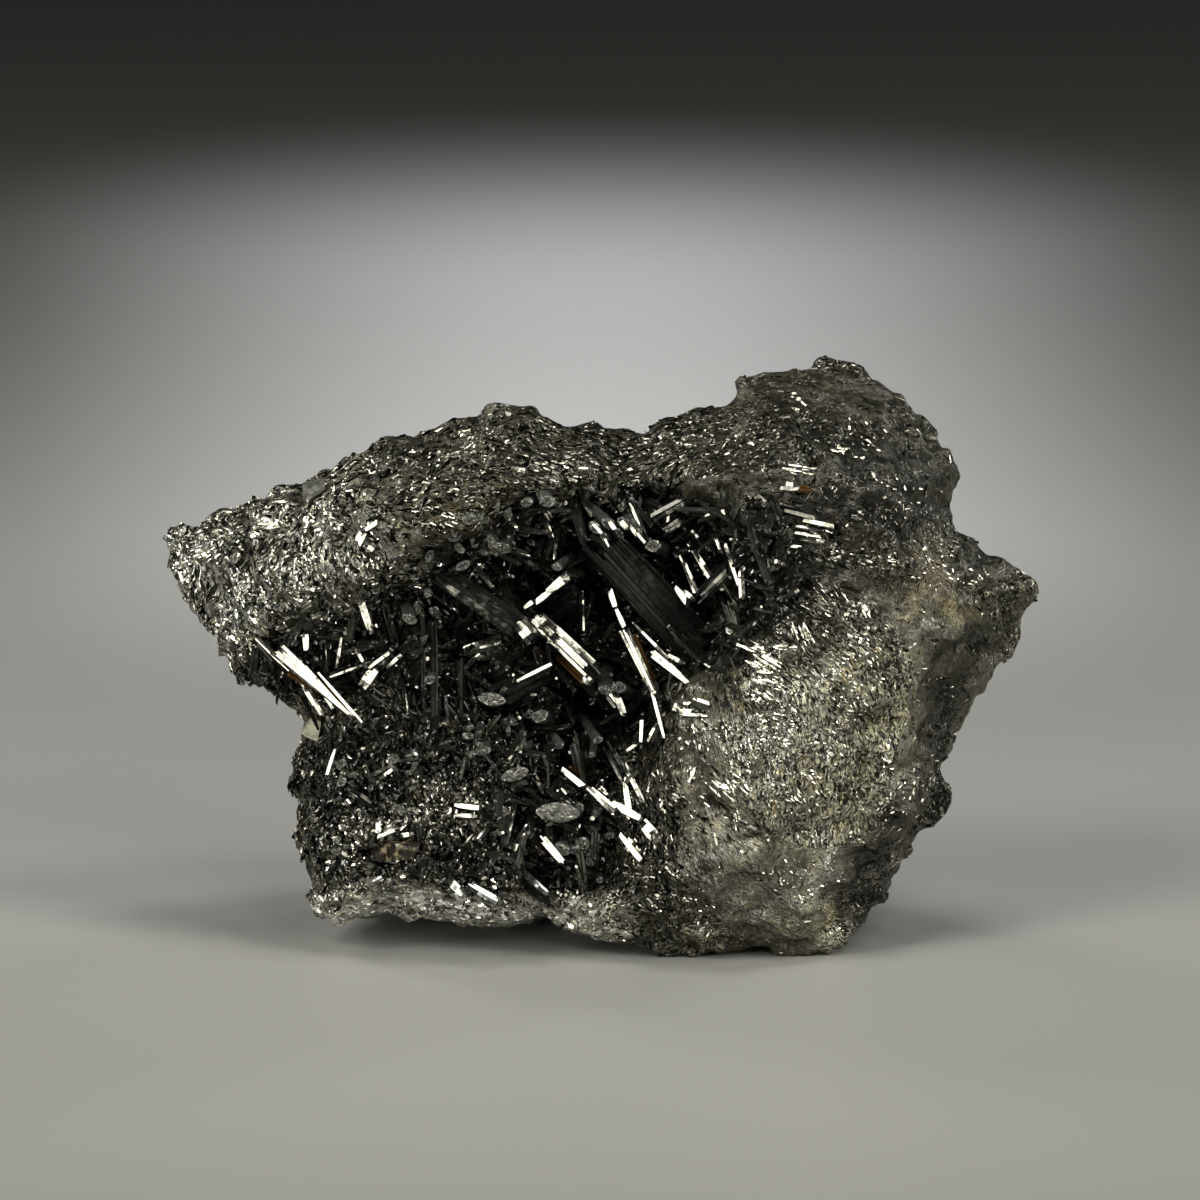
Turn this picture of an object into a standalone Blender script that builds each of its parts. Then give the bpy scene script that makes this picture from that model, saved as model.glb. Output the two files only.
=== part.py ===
"""A specimen of manganite: a broken block of massive manganite with a crystal-lined hollow in its front.

The block stands upright on its broken underside. +X runs to the right, +Y away from the viewer and +Z up.
The origin is on the floor, below the middle of the block. Sizes are in millimetres until mesh_object()
writes them as metres.

The block is laid out on a sheet that is square to a line of sight coming down at SIGHT_DOWN. A place on the
sheet is (x, h), and y says how far back the surface lies there. The front and the back of the block are
each one surface over that sheet, and they meet at the outline.
"""

import math
import random

import bmesh
import bpy
import numpy as np
from mathutils import Matrix, Vector, noise
from mathutils.bvhtree import BVHTree
from mathutils.geometry import delaunay_2d_cdt

MM = 0.001
SEED = 7

# ---- The block -------------------------------------------------------------------------------------------
SIGHT_DOWN = math.radians(10)
SIGHT = Vector((0, math.cos(SIGHT_DOWN), -math.sin(SIGHT_DOWN)))
FOOT_Y = -15.0  # the foot nearest the viewer, where the sheet's h is 0

# Corners of the broken outline on the sheet (x, h), clockwise from the tip of the left wing.
OUTLINE = (
    (-44.0, 41.7), (-43.7, 42.8), (-41.8, 43.4), (-39.7, 43.3), (-37.8, 44.9), (-33.8, 46.0), (-33.2, 46.9),
    (-30.0, 47.4), (-28.2, 48.7), (-25.5, 50.2), (-22.2, 51.5), (-21.6, 52.1), (-18.0, 52.5), (-15.4, 53.2),
    (-13.0, 54.3), (-9.2, 55.1), (-7.0, 55.3), (-5.9, 54.9), (-5.1, 53.8), (-1.5, 53.6), (-0.6, 54.3),
    (0.7, 52.9), (4.5, 52.7), (5.7, 53.3), (6.8, 54.3), (11.6, 55.3), (13.6, 56.6), (13.8, 58.0),
    (15.2, 58.0), (20.0, 59.2), (22.8, 60.3), (24.2, 59.9), (26.6, 59.1), (29.3, 56.9), (31.2, 55.7),
    (32.5, 54.1), (34.0, 52.5), (34.4, 51.1), (36.2, 49.1), (36.5, 47.5), (35.1, 45.5), (35.7, 42.7),
    (37.8, 41.3), (40.0, 40.1), (43.0, 38.5), (44.1, 37.5), (43.6, 35.3), (42.4, 34.3), (42.2, 31.5),
    (40.2, 29.0), (38.8, 26.7), (36.2, 23.9), (35.5, 21.6), (34.2, 18.9), (35.0, 17.2), (35.3, 15.4),
    (34.6, 14.1), (32.4, 12.3), (30.3, 9.7), (29.3, 7.7), (26.8, 4.7), (25.5, 2.7), (23.2, 0.8),
    (21.2, 0.0), (16.5, 0.7), (12.2, 0.6), (10.3, 0.1), (5.9, 0.0), (4.5, 0.9), (2.0, 1.6), (-1.0, 2.0),
    (-3.0, 2.8), (-5.2, 4.2), (-8.0, 3.6), (-11.6, 3.1), (-14.5, 3.7), (-18.0, 4.0), (-21.0, 4.6),
    (-23.5, 4.0), (-26.0, 3.5), (-28.4, 3.9), (-29.1, 6.2), (-29.7, 9.2), (-30.4, 11.7), (-30.9, 16.7),
    (-30.7, 19.7), (-30.0, 23.0), (-30.9, 25.1), (-32.5, 25.5), (-33.8, 26.7), (-36.0, 27.5),
    (-37.2, 28.5), (-38.2, 30.9), (-40.0, 32.7), (-41.2, 35.7), (-42.4, 37.2), (-43.3, 38.9),
)
RIM_STEP = 1.9  # longest stretch of outline between two points of the mesh
RIM_JAG = 0.22  # how far a point between two corners strays from the straight line

# Flat breaks of the block: name, x, h and y of a point on it, then how far it falls back to the right and up.
FRONT_BREAKS = (
    ("main face", 15.0, 20.0, -22.0, -0.12, 0.02),
    ("right face", 16.0, 22.0, -22.0, 0.42, 0.03),
    ("upper slope", 0.0, 47.0, -17.5, 0.02, 1.15),
    ("left wing", -25.0, 35.0, -13.0, -0.72, 0.12),
    ("wing roof", -22.0, 44.0, -14.0, -0.40, 1.05),
    ("lower right bevel", 30.0, 15.7, -16.0, 1.50, -0.95),
    ("lower left side", -26.0, 14.0, -16.0, -1.10, 0.0),
    ("bottom bevel", 12.0, 5.5, -19.5, 0.0, -0.85),
)
BACK_BREAKS = (
    ("main back", 0.0, 25.0, 21.0, -0.06, -0.10),
    ("upper back", 8.0, 45.0, 17.0, 0.05, -0.85),
    ("left back", -20.0, 30.0, 18.5, 0.62, 0.0),
    ("right back", 24.0, 25.0, 18.0, -0.75, 0.10),
    ("low back", 0.0, 8.0, 20.0, 0.0, 0.30),
)
# Hollows in the front: name, x and h of the middle, half width, half height, depth.
HOLLOWS = (
    ("main hollow", 1.5, 37.2, 16.5, 11.6, 20.0),
    ("lower hollow", -0.5, 24.5, 8.5, 9.5, 18.0),
    ("left hollow", -12.0, 31.5, 13.0, 10.8, 12.0),
    ("wing pocket", -26.0, 29.6, 8.0, 5.8, 7.0),
    ("lower channel", -1.7, 13.4, 9.0, 8.4, 7.5),
    ("lower shelf", -17.0, 18.0, 11.5, 6.4, 3.2),
    ("needle fan", 17.0, 40.0, 7.0, 7.5, 2.6),
    ("right lip", 10.0, 25.0, 6.0, 7.5, 3.0),
)
# Lumps that stand proud of the front and of the back: name, x, h, half width, half height, height.
FRONT_LUMPS = (
    ("brown shoulder", -13.5, 42.8, 7.5, 4.0, 2.2),
    ("right swell", 20.0, 27.0, 10.0, 9.0, 1.6),
    ("lower swell", 10.0, 9.0, 9.0, 6.0, 1.8),
    ("shelf lump", -17.5, 14.0, 5.5, 3.2, 2.0),
    ("bottom ledge", -13.0, 6.0, 12.0, 2.4, 1.6),
    ("peak", 24.0, 52.0, 7.0, 5.0, 1.8),
    ("wing brow", -30.0, 38.0, 6.0, 4.0, 1.5),
)
BACK_LUMPS = (
    ("back ridge", -6.0, 30.0, 16.0, 5.0, 2.2),
    ("back knob", 18.0, 36.0, 7.0, 6.0, 2.6),
    ("back step", 10.0, 14.0, 12.0, 5.0, 1.8),
    ("back hump", -24.0, 18.0, 6.0, 7.0, 2.0),
    ("back scar", -4.0, 43.0, 9.0, 5.0, -2.4),
    ("back dent", 28.0, 24.0, 6.0, 7.0, -2.2),
)
# The outline is chiselled: within it the surfaces move apart by this much for each millimetre inwards.
FRONT_CHISEL = (1.1, 3.0)
BACK_CHISEL = (1.5, 4.2)
CHISEL_SIZE = 15.0  # length over which the slope of the chiselled edge changes
BACK_THIN = 0.7  # the least that the back stands off the outline's depth for each millimetre inwards
HOLLOW_WALL = 2.0  # nearer the outline than this, no hollow goes deeper than the outline
HOLLOW_RUN = 0.6  # and further in, it may go this much deeper for each millimetre
FOOT_LINE = 5.0  # the outline below this h, where it runs across, is the foot
UNDERSIDE_RUN = 110.0  # how far the underside runs back for each millimetre above the foot
FRONT_SPACING = 1.95  # between the mesh points of each surface
BACK_SPACING = 3.2
BREAK_SIZE = 8.0  # size of the small flat breaks that the surface is made of
BREAK_TILT = 0.3  # how steeply they lean this way and that
BREAK_STEP = 0.5
GRAININESS = 0.4
GRAIN_SIZE = 3.6
BACK_BOLDNESS = 1.5  # the back is broken more coarsely
RIM_SHARE = 0.12  # share of this roughness that the outline itself gets
FULL_ROUGHNESS = 4.0  # it is at its full height this far in from the outline
FLOOR_SNAP = 0.4  # what is this low lies on the floor

# ---- The crystal crust -----------------------------------------------------------------------------------
CRUST_FROM = 0.75  # the crust covers the front where it is this much hollow
CRUST_GAP = 0.35  # between the crust and the block
CRUST_THICK = 0.95
CRUST_EDGE = 0.25
CRUST_BACK = 1.5  # how far it goes into the block before it is cut
ROOT = 1.1  # how deep a crystal's foot is sunk
SLIVER = 0.012  # corners this close are one corner
TIP_CLEAR = 1.6  # every large crystal's tip stands at least this far off the wall

# The large crystals: foot x, h; tip x, h, y; width, thickness; turn about the long axis in degrees.
CRYSTALS = (
    (9.5, 30.6, 0.6, 42.9, -14.0, 4.2, 2.0, 10),  # the broad blade over the main hollow
    (-7.7, 34.4, -2.9, 38.2, -12.5, 2.4, 0.9, 65),
    (-8.4, 36.0, -0.3, 28.0, -13.5, 1.8, 1.3, 0),  # the bright ribbed bar
    (6.3, 22.0, 2.1, 33.3, -13.0, 1.1, 0.9, 0),  # the long rod right of it
    (10.2, 27.0, 3.2, 33.0, -12.0, 1.1, 0.8, 20),
    (11.0, 26.2, 5.2, 30.4, -14.0, 1.7, 1.0, 0),
    (-17.2, 39.2, -7.2, 32.5, -15.0, 2.3, 1.5, 0),  # the wide prism on the left
    (-17.2, 39.2, -10.8, 42.3, -16.5, 1.4, 1.0, 0),
    (-16.5, 23.0, -16.4, 34.3, -12.5, 0.9, 0.8, 0),
    (-13.9, 22.6, -13.8, 30.2, -12.5, 0.8, 0.7, 0),
    (-14.8, 29.8, -12.8, 34.8, -13.0, 0.7, 0.6, 0),
    (-2.3, 30.6, -2.4, 36.5, -8.0, 1.7, 1.0, 0),
    (-3.4, 29.4, -11.0, 25.7, -14.5, 2.6, 1.5, 10),
    (-2.0, 27.5, -8.0, 29.0, -12.5, 1.8, 1.0, 30),
    (3.4, 25.0, 1.2, 27.9, -10.0, 1.1, 0.9, 0),
    (6.6, 40.2, 9.2, 35.3, -9.5, 0.9, 0.7, 0),
    (7.8, 41.0, 10.2, 36.2, -10.0, 0.8, 0.7, 0),
    (9.0, 41.5, 11.2, 37.6, -11.0, 0.8, 0.6, 0),
    (14.6, 40.6, 9.6, 35.6, -12.5, 1.6, 1.0, 0),
    (14.6, 35.2, 14.2, 39.5, -17.0, 0.8, 0.6, 0),
    (20.4, 40.6, 14.0, 41.6, -19.0, 0.8, 0.7, 0),
    (19.0, 39.4, 15.4, 40.8, -19.0, 0.7, 0.6, 0),
    (20.6, 43.4, 17.0, 44.8, -19.5, 1.2, 0.8, 0),
    (17.4, 45.6, 12.6, 46.0, -18.5, 1.3, 0.9, 0),
    (10.0, 44.8, 6.2, 42.4, -14.0, 1.3, 0.9, 0),
    (8.6, 45.6, 4.6, 43.6, -16.5, 1.1, 0.8, 0),
    (-24.6, 26.6, -31.4, 31.0, -12.5, 1.6, 0.8, 0),  # the bright blade under the left wing
    (-24.0, 28.0, -30.0, 32.6, -12.0, 0.8, 0.7, 0),
    (-22.2, 29.2, -24.2, 26.4, -14.5, 1.2, 0.8, 0),
    (-24.6, 34.0, -22.4, 31.2, -14.0, 0.8, 0.6, 0),
    (-22.4, 28.4, -20.8, 21.9, -14.5, 1.9, 1.0, 0),
    (-7.6, 17.4, -8.6, 18.6, -16.5, 2.9, 1.5, -15),  # the lens-shaped ends below
    (-4.0, 12.8, -4.2, 14.6, -17.5, 4.5, 2.2, 0),
    (-9.6, 13.6, -10.0, 14.8, -17.0, 2.4, 1.6, 10),
    (-3.0, 19.8, -1.6, 16.8, -14.0, 0.9, 0.7, 0),
    (5.0, 11.6, -1.1, 17.0, -16.5, 1.1, 0.8, 0),
    (3.6, 10.8, 0.6, 14.6, -18.0, 1.0, 0.8, 20),
    (3.2, 16.4, 0.3, 21.6, -13.0, 1.3, 0.9, 0),
    (-7.0, 10.4, -9.8, 11.7, -17.5, 0.9, 0.7, 0),
    (-4.0, 9.4, -6.2, 12.2, -17.5, 1.1, 0.8, 0),
    (-19.4, 18.4, -21.6, 20.8, -16.5, 1.2, 0.9, 0),
    (-14.0, 19.6, -12.0, 21.4, -16.0, 1.1, 0.9, 0),
)
FILL_CRYSTALS = 42  # smaller ones that fill the walls between them
FILL_LENGTH = (2.8, 7.2)
FILL_WIDTH = (0.9, 2.0)
FILL_FRONT = -19.0  # no filling crystal reaches further forward than this
SIDES = 6

# ---- Grains of other minerals on the block: name, x, h, size (wide, deep, high), lean, colour --------------
GRAINS = (
    ("calcite_chip", -28.6, 22.9, (1.7, 2.2, 2.0), 24, (0.62, 0.61, 0.50, 1.0)),
    ("quartz_grain", -28.7, 46.6, (2.3, 2.6, 2.0), -14, (0.42, 0.42, 0.40, 1.0)),
    ("brown_calcite_grain", -20.3, 10.8, (4.2, 2.8, 1.7), -4, (0.22, 0.17, 0.11, 1.0)),
)


def upright(x, h, y):
    """The point of space at (x, h) on the sheet and y deep."""
    return Vector((x, y, (h - (y - FOOT_Y) * math.sin(SIGHT_DOWN)) / math.cos(SIGHT_DOWN)))


# ---- The surfaces over the sheet ---------------------------------------------------------------------------
def plane(spot, x, h):
    _, spot_x, spot_h, y, right, up = spot
    return y + right * (x - spot_x) + up * (h - spot_h)


def dome(spot, x, h, edge):
    """How high an oval lump, or how deep an oval hollow, is at (x, h). A lower edge makes its sides steeper."""
    _, spot_x, spot_h, half_width, half_height, height = spot
    out = ((x - spot_x) / half_width) ** 2 + ((h - spot_h) / half_height) ** 2
    return height * np.clip(1 - out, 0, 1) ** edge


def hollowness(x, h):
    return np.max([dome(spot, x, h, 0.62) for spot in HOLLOWS], axis=0)


def blunt(inset):
    """How far each surface stands off the outline's depth at the least: the edge is never sharp."""
    return 0.6 * np.sqrt(inset)


def chisel(x, h, inset, slopes, seed):
    """How far a surface may stand off the outline's depth, so far in from the outline."""
    chance = [noise.noise(Vector((a, b, seed)) / CHISEL_SIZE) for a, b in zip(x, h)]
    low, high = slopes
    slope = low + (high - low) * np.clip(0.5 + 0.9 * np.array(chance), 0, 1)
    return blunt(inset) + slope * inset


def rim_depth(x, h):
    """Depth of the outline: it leans back as it rises, and the left foot stands back from the right one."""
    return FOOT_Y + 0.38 * h + 0.16 * np.clip(-x, 0, None) * np.clip(1 - h / 40, 0, 1)


def front_depth(x, h, inset):
    face = np.max([plane(spot, x, h) for spot in FRONT_BREAKS], axis=0)
    face = face - sum(dome(spot, x, h, 1.2) for spot in FRONT_LUMPS) + hollowness(x, h)
    rim = rim_depth(x, h)
    nearest = rim - chisel(x, h, inset, FRONT_CHISEL, 3)
    farthest = rim - blunt(inset) + HOLLOW_RUN * np.clip(inset - HOLLOW_WALL, 0, None)
    return np.clip(face, nearest, farthest)


def back_depth(x, h, inset, above_foot):
    """Depth of the back: it is chiselled at the sides and the top, flat below, and ends at the floor."""
    face = np.min([plane(spot, x, h) for spot in BACK_BREAKS], axis=0)
    face = face + sum(dome(spot, x, h, 1.2) for spot in BACK_LUMPS)
    rim = rim_depth(x, h)
    reach = np.minimum(chisel(x, h, inset, BACK_CHISEL, 90), UNDERSIDE_RUN * above_foot)
    thin = blunt(inset) + BACK_THIN * inset
    depth = rim + np.minimum(np.maximum(face - rim, thin), reach)
    return np.minimum(depth, FOOT_Y + h / math.sin(SIGHT_DOWN))


# ---- The mesh over the sheet -------------------------------------------------------------------------------
def jagged_outline(chance):
    """The outline with points added between its corners."""
    loop = []
    for (x, h), (next_x, next_h) in zip(OUTLINE, OUTLINE[1:] + OUTLINE[:1]):
        along = Vector((next_x - x, next_h - h))
        across = Vector((-along.y, along.x)).normalized()
        parts = max(1, math.ceil(along.length / RIM_STEP))
        for part in range(parts):
            stray = chance.uniform(-RIM_JAG, RIM_JAG) if part else 0
            place = Vector((x, h)) + along * part / parts + across * stray
            loop.append((place.x, max(place.y, 0)))
    return np.array(loop)


def is_foot(loop):
    """Which stretches of the outline are the foot."""
    end = np.roll(loop, -1, axis=0)
    across = np.abs(end - loop)
    return ((loop + end)[:, 1] / 2 < FOOT_LINE) & (across[:, 0] > 0.7 * across[:, 1])


def insets(points, loop, stretches=None):
    """How far each point lies inside the loop, or in from some stretches of it; outside, it is negative."""
    start, end = loop, np.roll(loop, -1, axis=0)
    along = end - start
    offset = points[:, None] - start[None]
    share = np.clip((offset * along).sum(2) / (along**2).sum(1), 0, 1)
    gap = np.linalg.norm(offset - share[..., None] * along, axis=2)
    nearest = gap.min(1) if stretches is None else gap[:, stretches].min(1)
    x, h = points[:, :1], points[:, 1:]
    crosses = (start[:, 1] > h) != (end[:, 1] > h)
    rise = np.where(along[:, 1] == 0, 1, along[:, 1])
    left = x < start[:, 0] + (h - start[:, 1]) / rise * along[:, 0]
    inside = (crosses & left).sum(1) % 2 == 1
    return np.where(inside, nearest, -nearest)


def scattered(loop, spacing, rows, seed):
    """Points inside the loop: rows at the given insets, which follow it, and others scattered between them."""
    rng = np.random.default_rng(seed)
    low, high = loop.min(0), loop.max(0)
    candidates = []
    inward = np.roll(loop, 1, axis=0) - np.roll(loop, -1, axis=0)
    inward = np.stack([-inward[:, 1], inward[:, 0]], 1) / np.linalg.norm(inward, axis=1)[:, None]
    for inset in rows:
        row = loop + inward * inset
        row = row[np.abs(insets(row, loop)) > 0.75 * inset]
        candidates.append((row[insets(row, loop) > 0], RIM_STEP * 0.55, True))
    fill = rng.uniform(low, high, (int(60 * np.prod(high - low) / spacing**2), 2))
    candidates.append((fill[insets(fill, loop) > rows[-1] + 0.45 * spacing], spacing, False))
    kept = np.empty((0, 2))
    for points, apart, own_row in candidates:
        before = len(kept)
        for point in points:
            rivals = kept[before:] if own_row else kept
            if not len(rivals) or np.abs(rivals - point).sum(1).min() > apart:
                kept = np.vstack([kept, point])
    return kept


def triangles(loop, inner):
    """Delaunay triangles, as indices into loop followed by inner, that fill the loop."""
    points = [Vector(p) for p in np.vstack([loop, inner])]
    outline = list(range(len(loop)))[::-1]
    _, _, faces, sources, _, _ = delaunay_2d_cdt(points, [], [outline], 1, 1e-6)
    return [[sources[i][0] for i in face] for face in faces]


def broken(point):
    """Height of the broken surface at a point: small flat breaks that lean at random, with grains on them."""
    _, nearest = noise.voronoi(point / BREAK_SIZE)
    middle = nearest[0]
    lean = noise.cell_vector(middle * 9.7) - Vector((0.5, 0.5, 0.5))
    tilt = 2 * BREAK_TILT * lean.dot(point - middle * BREAK_SIZE)
    step = BREAK_STEP * (noise.cell(middle * 7.3) - 0.5)
    return tilt + step + GRAININESS * noise.fractal(point / GRAIN_SIZE, 1.0, 2.0, 2)


def roughen(bm, share_of):
    """Moves each vertex along its normal, as the broken surface does; a steep wall moves less."""
    bm.normal_update()
    moves = []
    for vertex in bm.verts:
        facing = 0.25 + 0.75 * abs(vertex.normal.dot(SIGHT))
        moves.append(vertex.normal * broken(vertex.co) * facing * share_of(vertex))
    for vertex, move in zip(bm.verts, moves):
        on_floor = vertex.co.z < 0.05
        vertex.co += move
        if on_floor or vertex.co.z < FLOOR_SNAP:
            vertex.co.z = 0


def block_surfaces():
    """The block as a bmesh, with the sheet places and the triangles of its front."""
    loop = jagged_outline(random.Random(SEED))
    front = scattered(loop, FRONT_SPACING, (0.25, 0.95, 2.1), SEED)
    back = scattered(loop, BACK_SPACING, (0.3, 1.2, 2.6), SEED + 1)
    sheet = np.vstack([loop, front, back])
    inset = np.clip(insets(sheet, loop), 0, None)
    inset[: len(loop)] = 0
    x, h = sheet[:, 0], sheet[:, 1]
    depth = front_depth(x, h, inset)
    depth[: len(loop)] = rim_depth(*loop.T)
    behind = len(loop) + len(front)
    foot = is_foot(loop)
    from_sides = insets(back, loop, ~foot)
    depth[behind:] = back_depth(*back.T, from_sides, insets(back, loop, foot))
    bm = bmesh.new()
    for place in zip(x, h, depth):
        bm.verts.new(upright(*place))
    bm.verts.ensure_lookup_table()
    front_faces = triangles(loop, front)
    for face in front_faces:
        bm.faces.new([bm.verts[i] for i in face])
    shift = len(front)
    for face in triangles(loop, back):
        bm.faces.new([bm.verts[i if i < len(loop) else i + shift] for i in reversed(face)])
    bmesh.ops.recalc_face_normals(bm, faces=bm.faces)
    bm.verts.index_update()

    def share_of(vertex):
        share = RIM_SHARE + (1 - RIM_SHARE) * min(inset[vertex.index] / FULL_ROUGHNESS, 1)
        return share * (BACK_BOLDNESS if vertex.index >= behind else 1)

    roughen(bm, share_of)
    return bm, sheet, front_faces


# ---- Objects -------------------------------------------------------------------------------------------------
def material(name, colour, roughness, metallic):
    made = bpy.data.materials.new(name)
    made.use_nodes = True
    shader = made.node_tree.nodes["Principled BSDF"]
    shader.inputs["Base Color"].default_value = colour
    shader.inputs["Roughness"].default_value = roughness
    shader.inputs["Metallic"].default_value = metallic
    return made


def mesh_object(name, bm, collection, look=None):
    """An object of that bmesh, which is in millimetres."""
    mesh = bpy.data.meshes.new(name)
    bmesh.ops.scale(bm, vec=(MM, MM, MM), verts=bm.verts)
    bm.to_mesh(mesh)
    bm.free()
    made = bpy.data.objects.new(name, mesh)
    if look:
        mesh.materials.append(look)
    collection.objects.link(made)
    return made


def extruded(places, faces, near, far):
    """A solid between two copies of a patch of triangles; near and far give each copy's points."""
    bm = bmesh.new()
    used = sorted({i for face in faces for i in face})
    fronts = {i: bm.verts.new(near(i, places[i])) for i in used}
    backs = {i: bm.verts.new(far(i, places[i])) for i in used}
    edges = {}
    for face in faces:
        bm.faces.new([fronts[i] for i in face])
        bm.faces.new([backs[i] for i in reversed(face)])
        for pair in zip(face, face[1:] + face[:1]):
            edges[pair] = True
    for a, b in edges:
        if (b, a) not in edges:
            bm.faces.new([fronts[b], fronts[a], backs[a], backs[b]])
    bmesh.ops.recalc_face_normals(bm, faces=bm.faces)
    return bm


def border_of(faces):
    """The vertices on the border of a patch of triangles."""
    times = {}
    for face in faces:
        for a, b in zip(face, face[1:] + face[:1]):
            times[frozenset((a, b))] = times.get(frozenset((a, b)), 0) + 1
    return {i for edge, count in times.items() if count == 1 for i in edge}


def largest_patch(faces):
    """The largest set of triangles that hang together by their edges."""
    by_edge = {}
    for number, face in enumerate(faces):
        for a, b in zip(face, face[1:] + face[:1]):
            by_edge.setdefault(frozenset((a, b)), []).append(number)
    left, best = set(range(len(faces))), []
    while left:
        stack, patch = [left.pop()], []
        while stack:
            number = stack.pop()
            patch.append(number)
            face = faces[number]
            for a, b in zip(face, face[1:] + face[:1]):
                for other in by_edge[frozenset((a, b))]:
                    if other in left:
                        left.remove(other)
                        stack.append(other)
        best = max(best, patch, key=len)
    return [faces[number] for number in sorted(best)]


def crystal(name, foot, tip, width, thickness, turn, collection, slope):
    """A flattened six-sided prism from foot to tip, its end sloping a little."""
    axis = tip - foot
    across = axis.cross(SIGHT).normalized()
    frame = Matrix((across, axis.cross(across).normalized(), axis.normalized())).transposed()
    bm = bmesh.new()
    bmesh.ops.create_cone(
        bm, cap_ends=True, segments=SIDES, radius1=0.5, radius2=0.47, depth=1,
        matrix=Matrix.Rotation(math.radians(90), 4, "Z"),
    )
    spin = Matrix.Rotation(math.radians(turn), 3, "Z")
    for vertex in bm.verts:
        x, y, z = vertex.co
        z = (z + 0.5) * axis.length + (slope * width * x if z > 0 else 0)
        vertex.co = foot + frame @ spin @ Vector((x * width, y * thickness, z))
    return mesh_object(name, bm, collection)


def wall_at(wall, x, h):
    """The point where the line of sight through (x, h) meets the front of the block."""
    return wall.ray_cast(upright(x, h, -60), SIGHT)[0]


def large_crystals(wall):
    """Foot, tip, width, thickness and turn of the listed crystals, each rooted in the wall behind its foot."""
    for foot_x, foot_h, tip_x, tip_h, tip_y, width, thickness, turn in CRYSTALS:
        foot = wall_at(wall, foot_x, foot_h) + SIGHT * ROOT
        end_wall = wall_at(wall, tip_x, tip_h)
        tip = upright(tip_x, tip_h, min(tip_y, end_wall.y - TIP_CLEAR))
        yield foot, tip, width, thickness, turn


def fill_crystals(verts, patch, chance):
    """The same of the smaller crystals, which lean out of the walls towards the viewer."""
    made = 0
    while made < FILL_CRYSTALS:
        face = chance.choice(patch)
        a, b, c = (verts[i] for i in face)
        foot = (a + b + c) / 3
        outward = (b - a).cross(c - a).normalized()
        outward = outward if outward.dot(SIGHT) < 0 else -outward
        wild = Vector([chance.uniform(-1, 1) for _ in range(3)])
        way = (outward * 0.9 - SIGHT * 0.9 + wild * 0.75).normalized()
        tip = foot + way * chance.uniform(*FILL_LENGTH)
        if way.dot(SIGHT) > -0.3 or tip.y < FILL_FRONT:
            continue
        width = chance.uniform(*FILL_WIDTH)
        yield foot - way * ROOT, tip, width, width * chance.uniform(0.5, 0.8), chance.uniform(0, 180)
        made += 1


def crystal_crust(verts, sheet, front_faces, wall, behind, helpers, collection, look):
    """The crust that lines the hollow, with every crystal that stands on it, cut off behind by the block."""
    deep = hollowness(sheet[:, 0], sheet[:, 1])
    patch = largest_patch([f for f in front_faces if min(deep[i] for i in f) > CRUST_FROM])
    border = border_of(patch)

    def face_of_crust(i, place):
        thick = CRUST_EDGE if i in border else CRUST_THICK
        return place - SIGHT * (CRUST_GAP + thick)

    slab = extruded(verts, patch, face_of_crust, lambda i, place: place + SIGHT * CRUST_BACK)
    crust = mesh_object("crystal_crust", slab, collection, look)
    chance = random.Random(SEED + 2)
    grown = bpy.data.collections.new("crust_crystals")
    helpers.children.link(grown)
    rows = [*large_crystals(wall), *fill_crystals(verts, patch, chance)]
    for number, row in enumerate(rows):
        made = crystal(f"crystal_{number:02d}", *row, grown, chance.uniform(-0.35, 0.35))
        hide(made)
    join = crust.modifiers.new("grow together", "BOOLEAN")
    join.operation = "UNION"
    join.operand_type = "COLLECTION"
    join.collection = grown
    cut_by(crust, behind)
    weld = crust.modifiers.new("no slivers", "WELD")
    weld.merge_threshold = SLIVER * MM


def behind_the_front(verts, front_faces, helpers):
    """A cutter that fills the block and all behind it, as far forward as the gap to what lies on the front."""
    solid = extruded(
        verts, front_faces,
        lambda i, place: place - SIGHT * CRUST_GAP,
        lambda i, place: place + SIGHT * 90,
    )
    cutter = mesh_object("behind_the_front", solid, helpers)
    hide(cutter)
    return cutter


def hide(guide):
    guide.hide_render = True
    guide.display_type = "WIRE"


def cut_by(target, cutter):
    cut = target.modifiers.new("cut by the block", "BOOLEAN")
    cut.operation = "DIFFERENCE"
    cut.object = cutter


def grain(name, x, h, size, lean, colour, wall, behind, collection):
    """A small angular grain that lies on the block: a sheared box with broken corners, cut off behind."""
    bm = bmesh.new()
    bmesh.ops.create_cube(bm, size=1)
    corners = sorted(bm.verts, key=lambda v: (round(v.co.z), round(v.co.x), round(v.co.y)))
    bmesh.ops.bevel(
        bm, geom=[corners[0], corners[-1], corners[3]], affect="VERTICES", offset=0.3, segments=1
    )
    wide, deep, high = size
    turn = Matrix.Rotation(math.radians(lean), 3, "Y")
    middle = wall_at(wall, x, h) - SIGHT * (CRUST_GAP + 0.15 * deep)
    for vertex in bm.verts:
        px, py, pz = vertex.co
        vertex.co = middle + turn @ Vector(((px + 0.18 * pz) * wide, py * deep, pz * high))
    made = mesh_object(name, bm, collection, material(name, colour, 0.35, 0.0))
    cut_by(made, behind)


def clear_scene():
    for old in list(bpy.data.objects):
        bpy.data.objects.remove(old)


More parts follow.
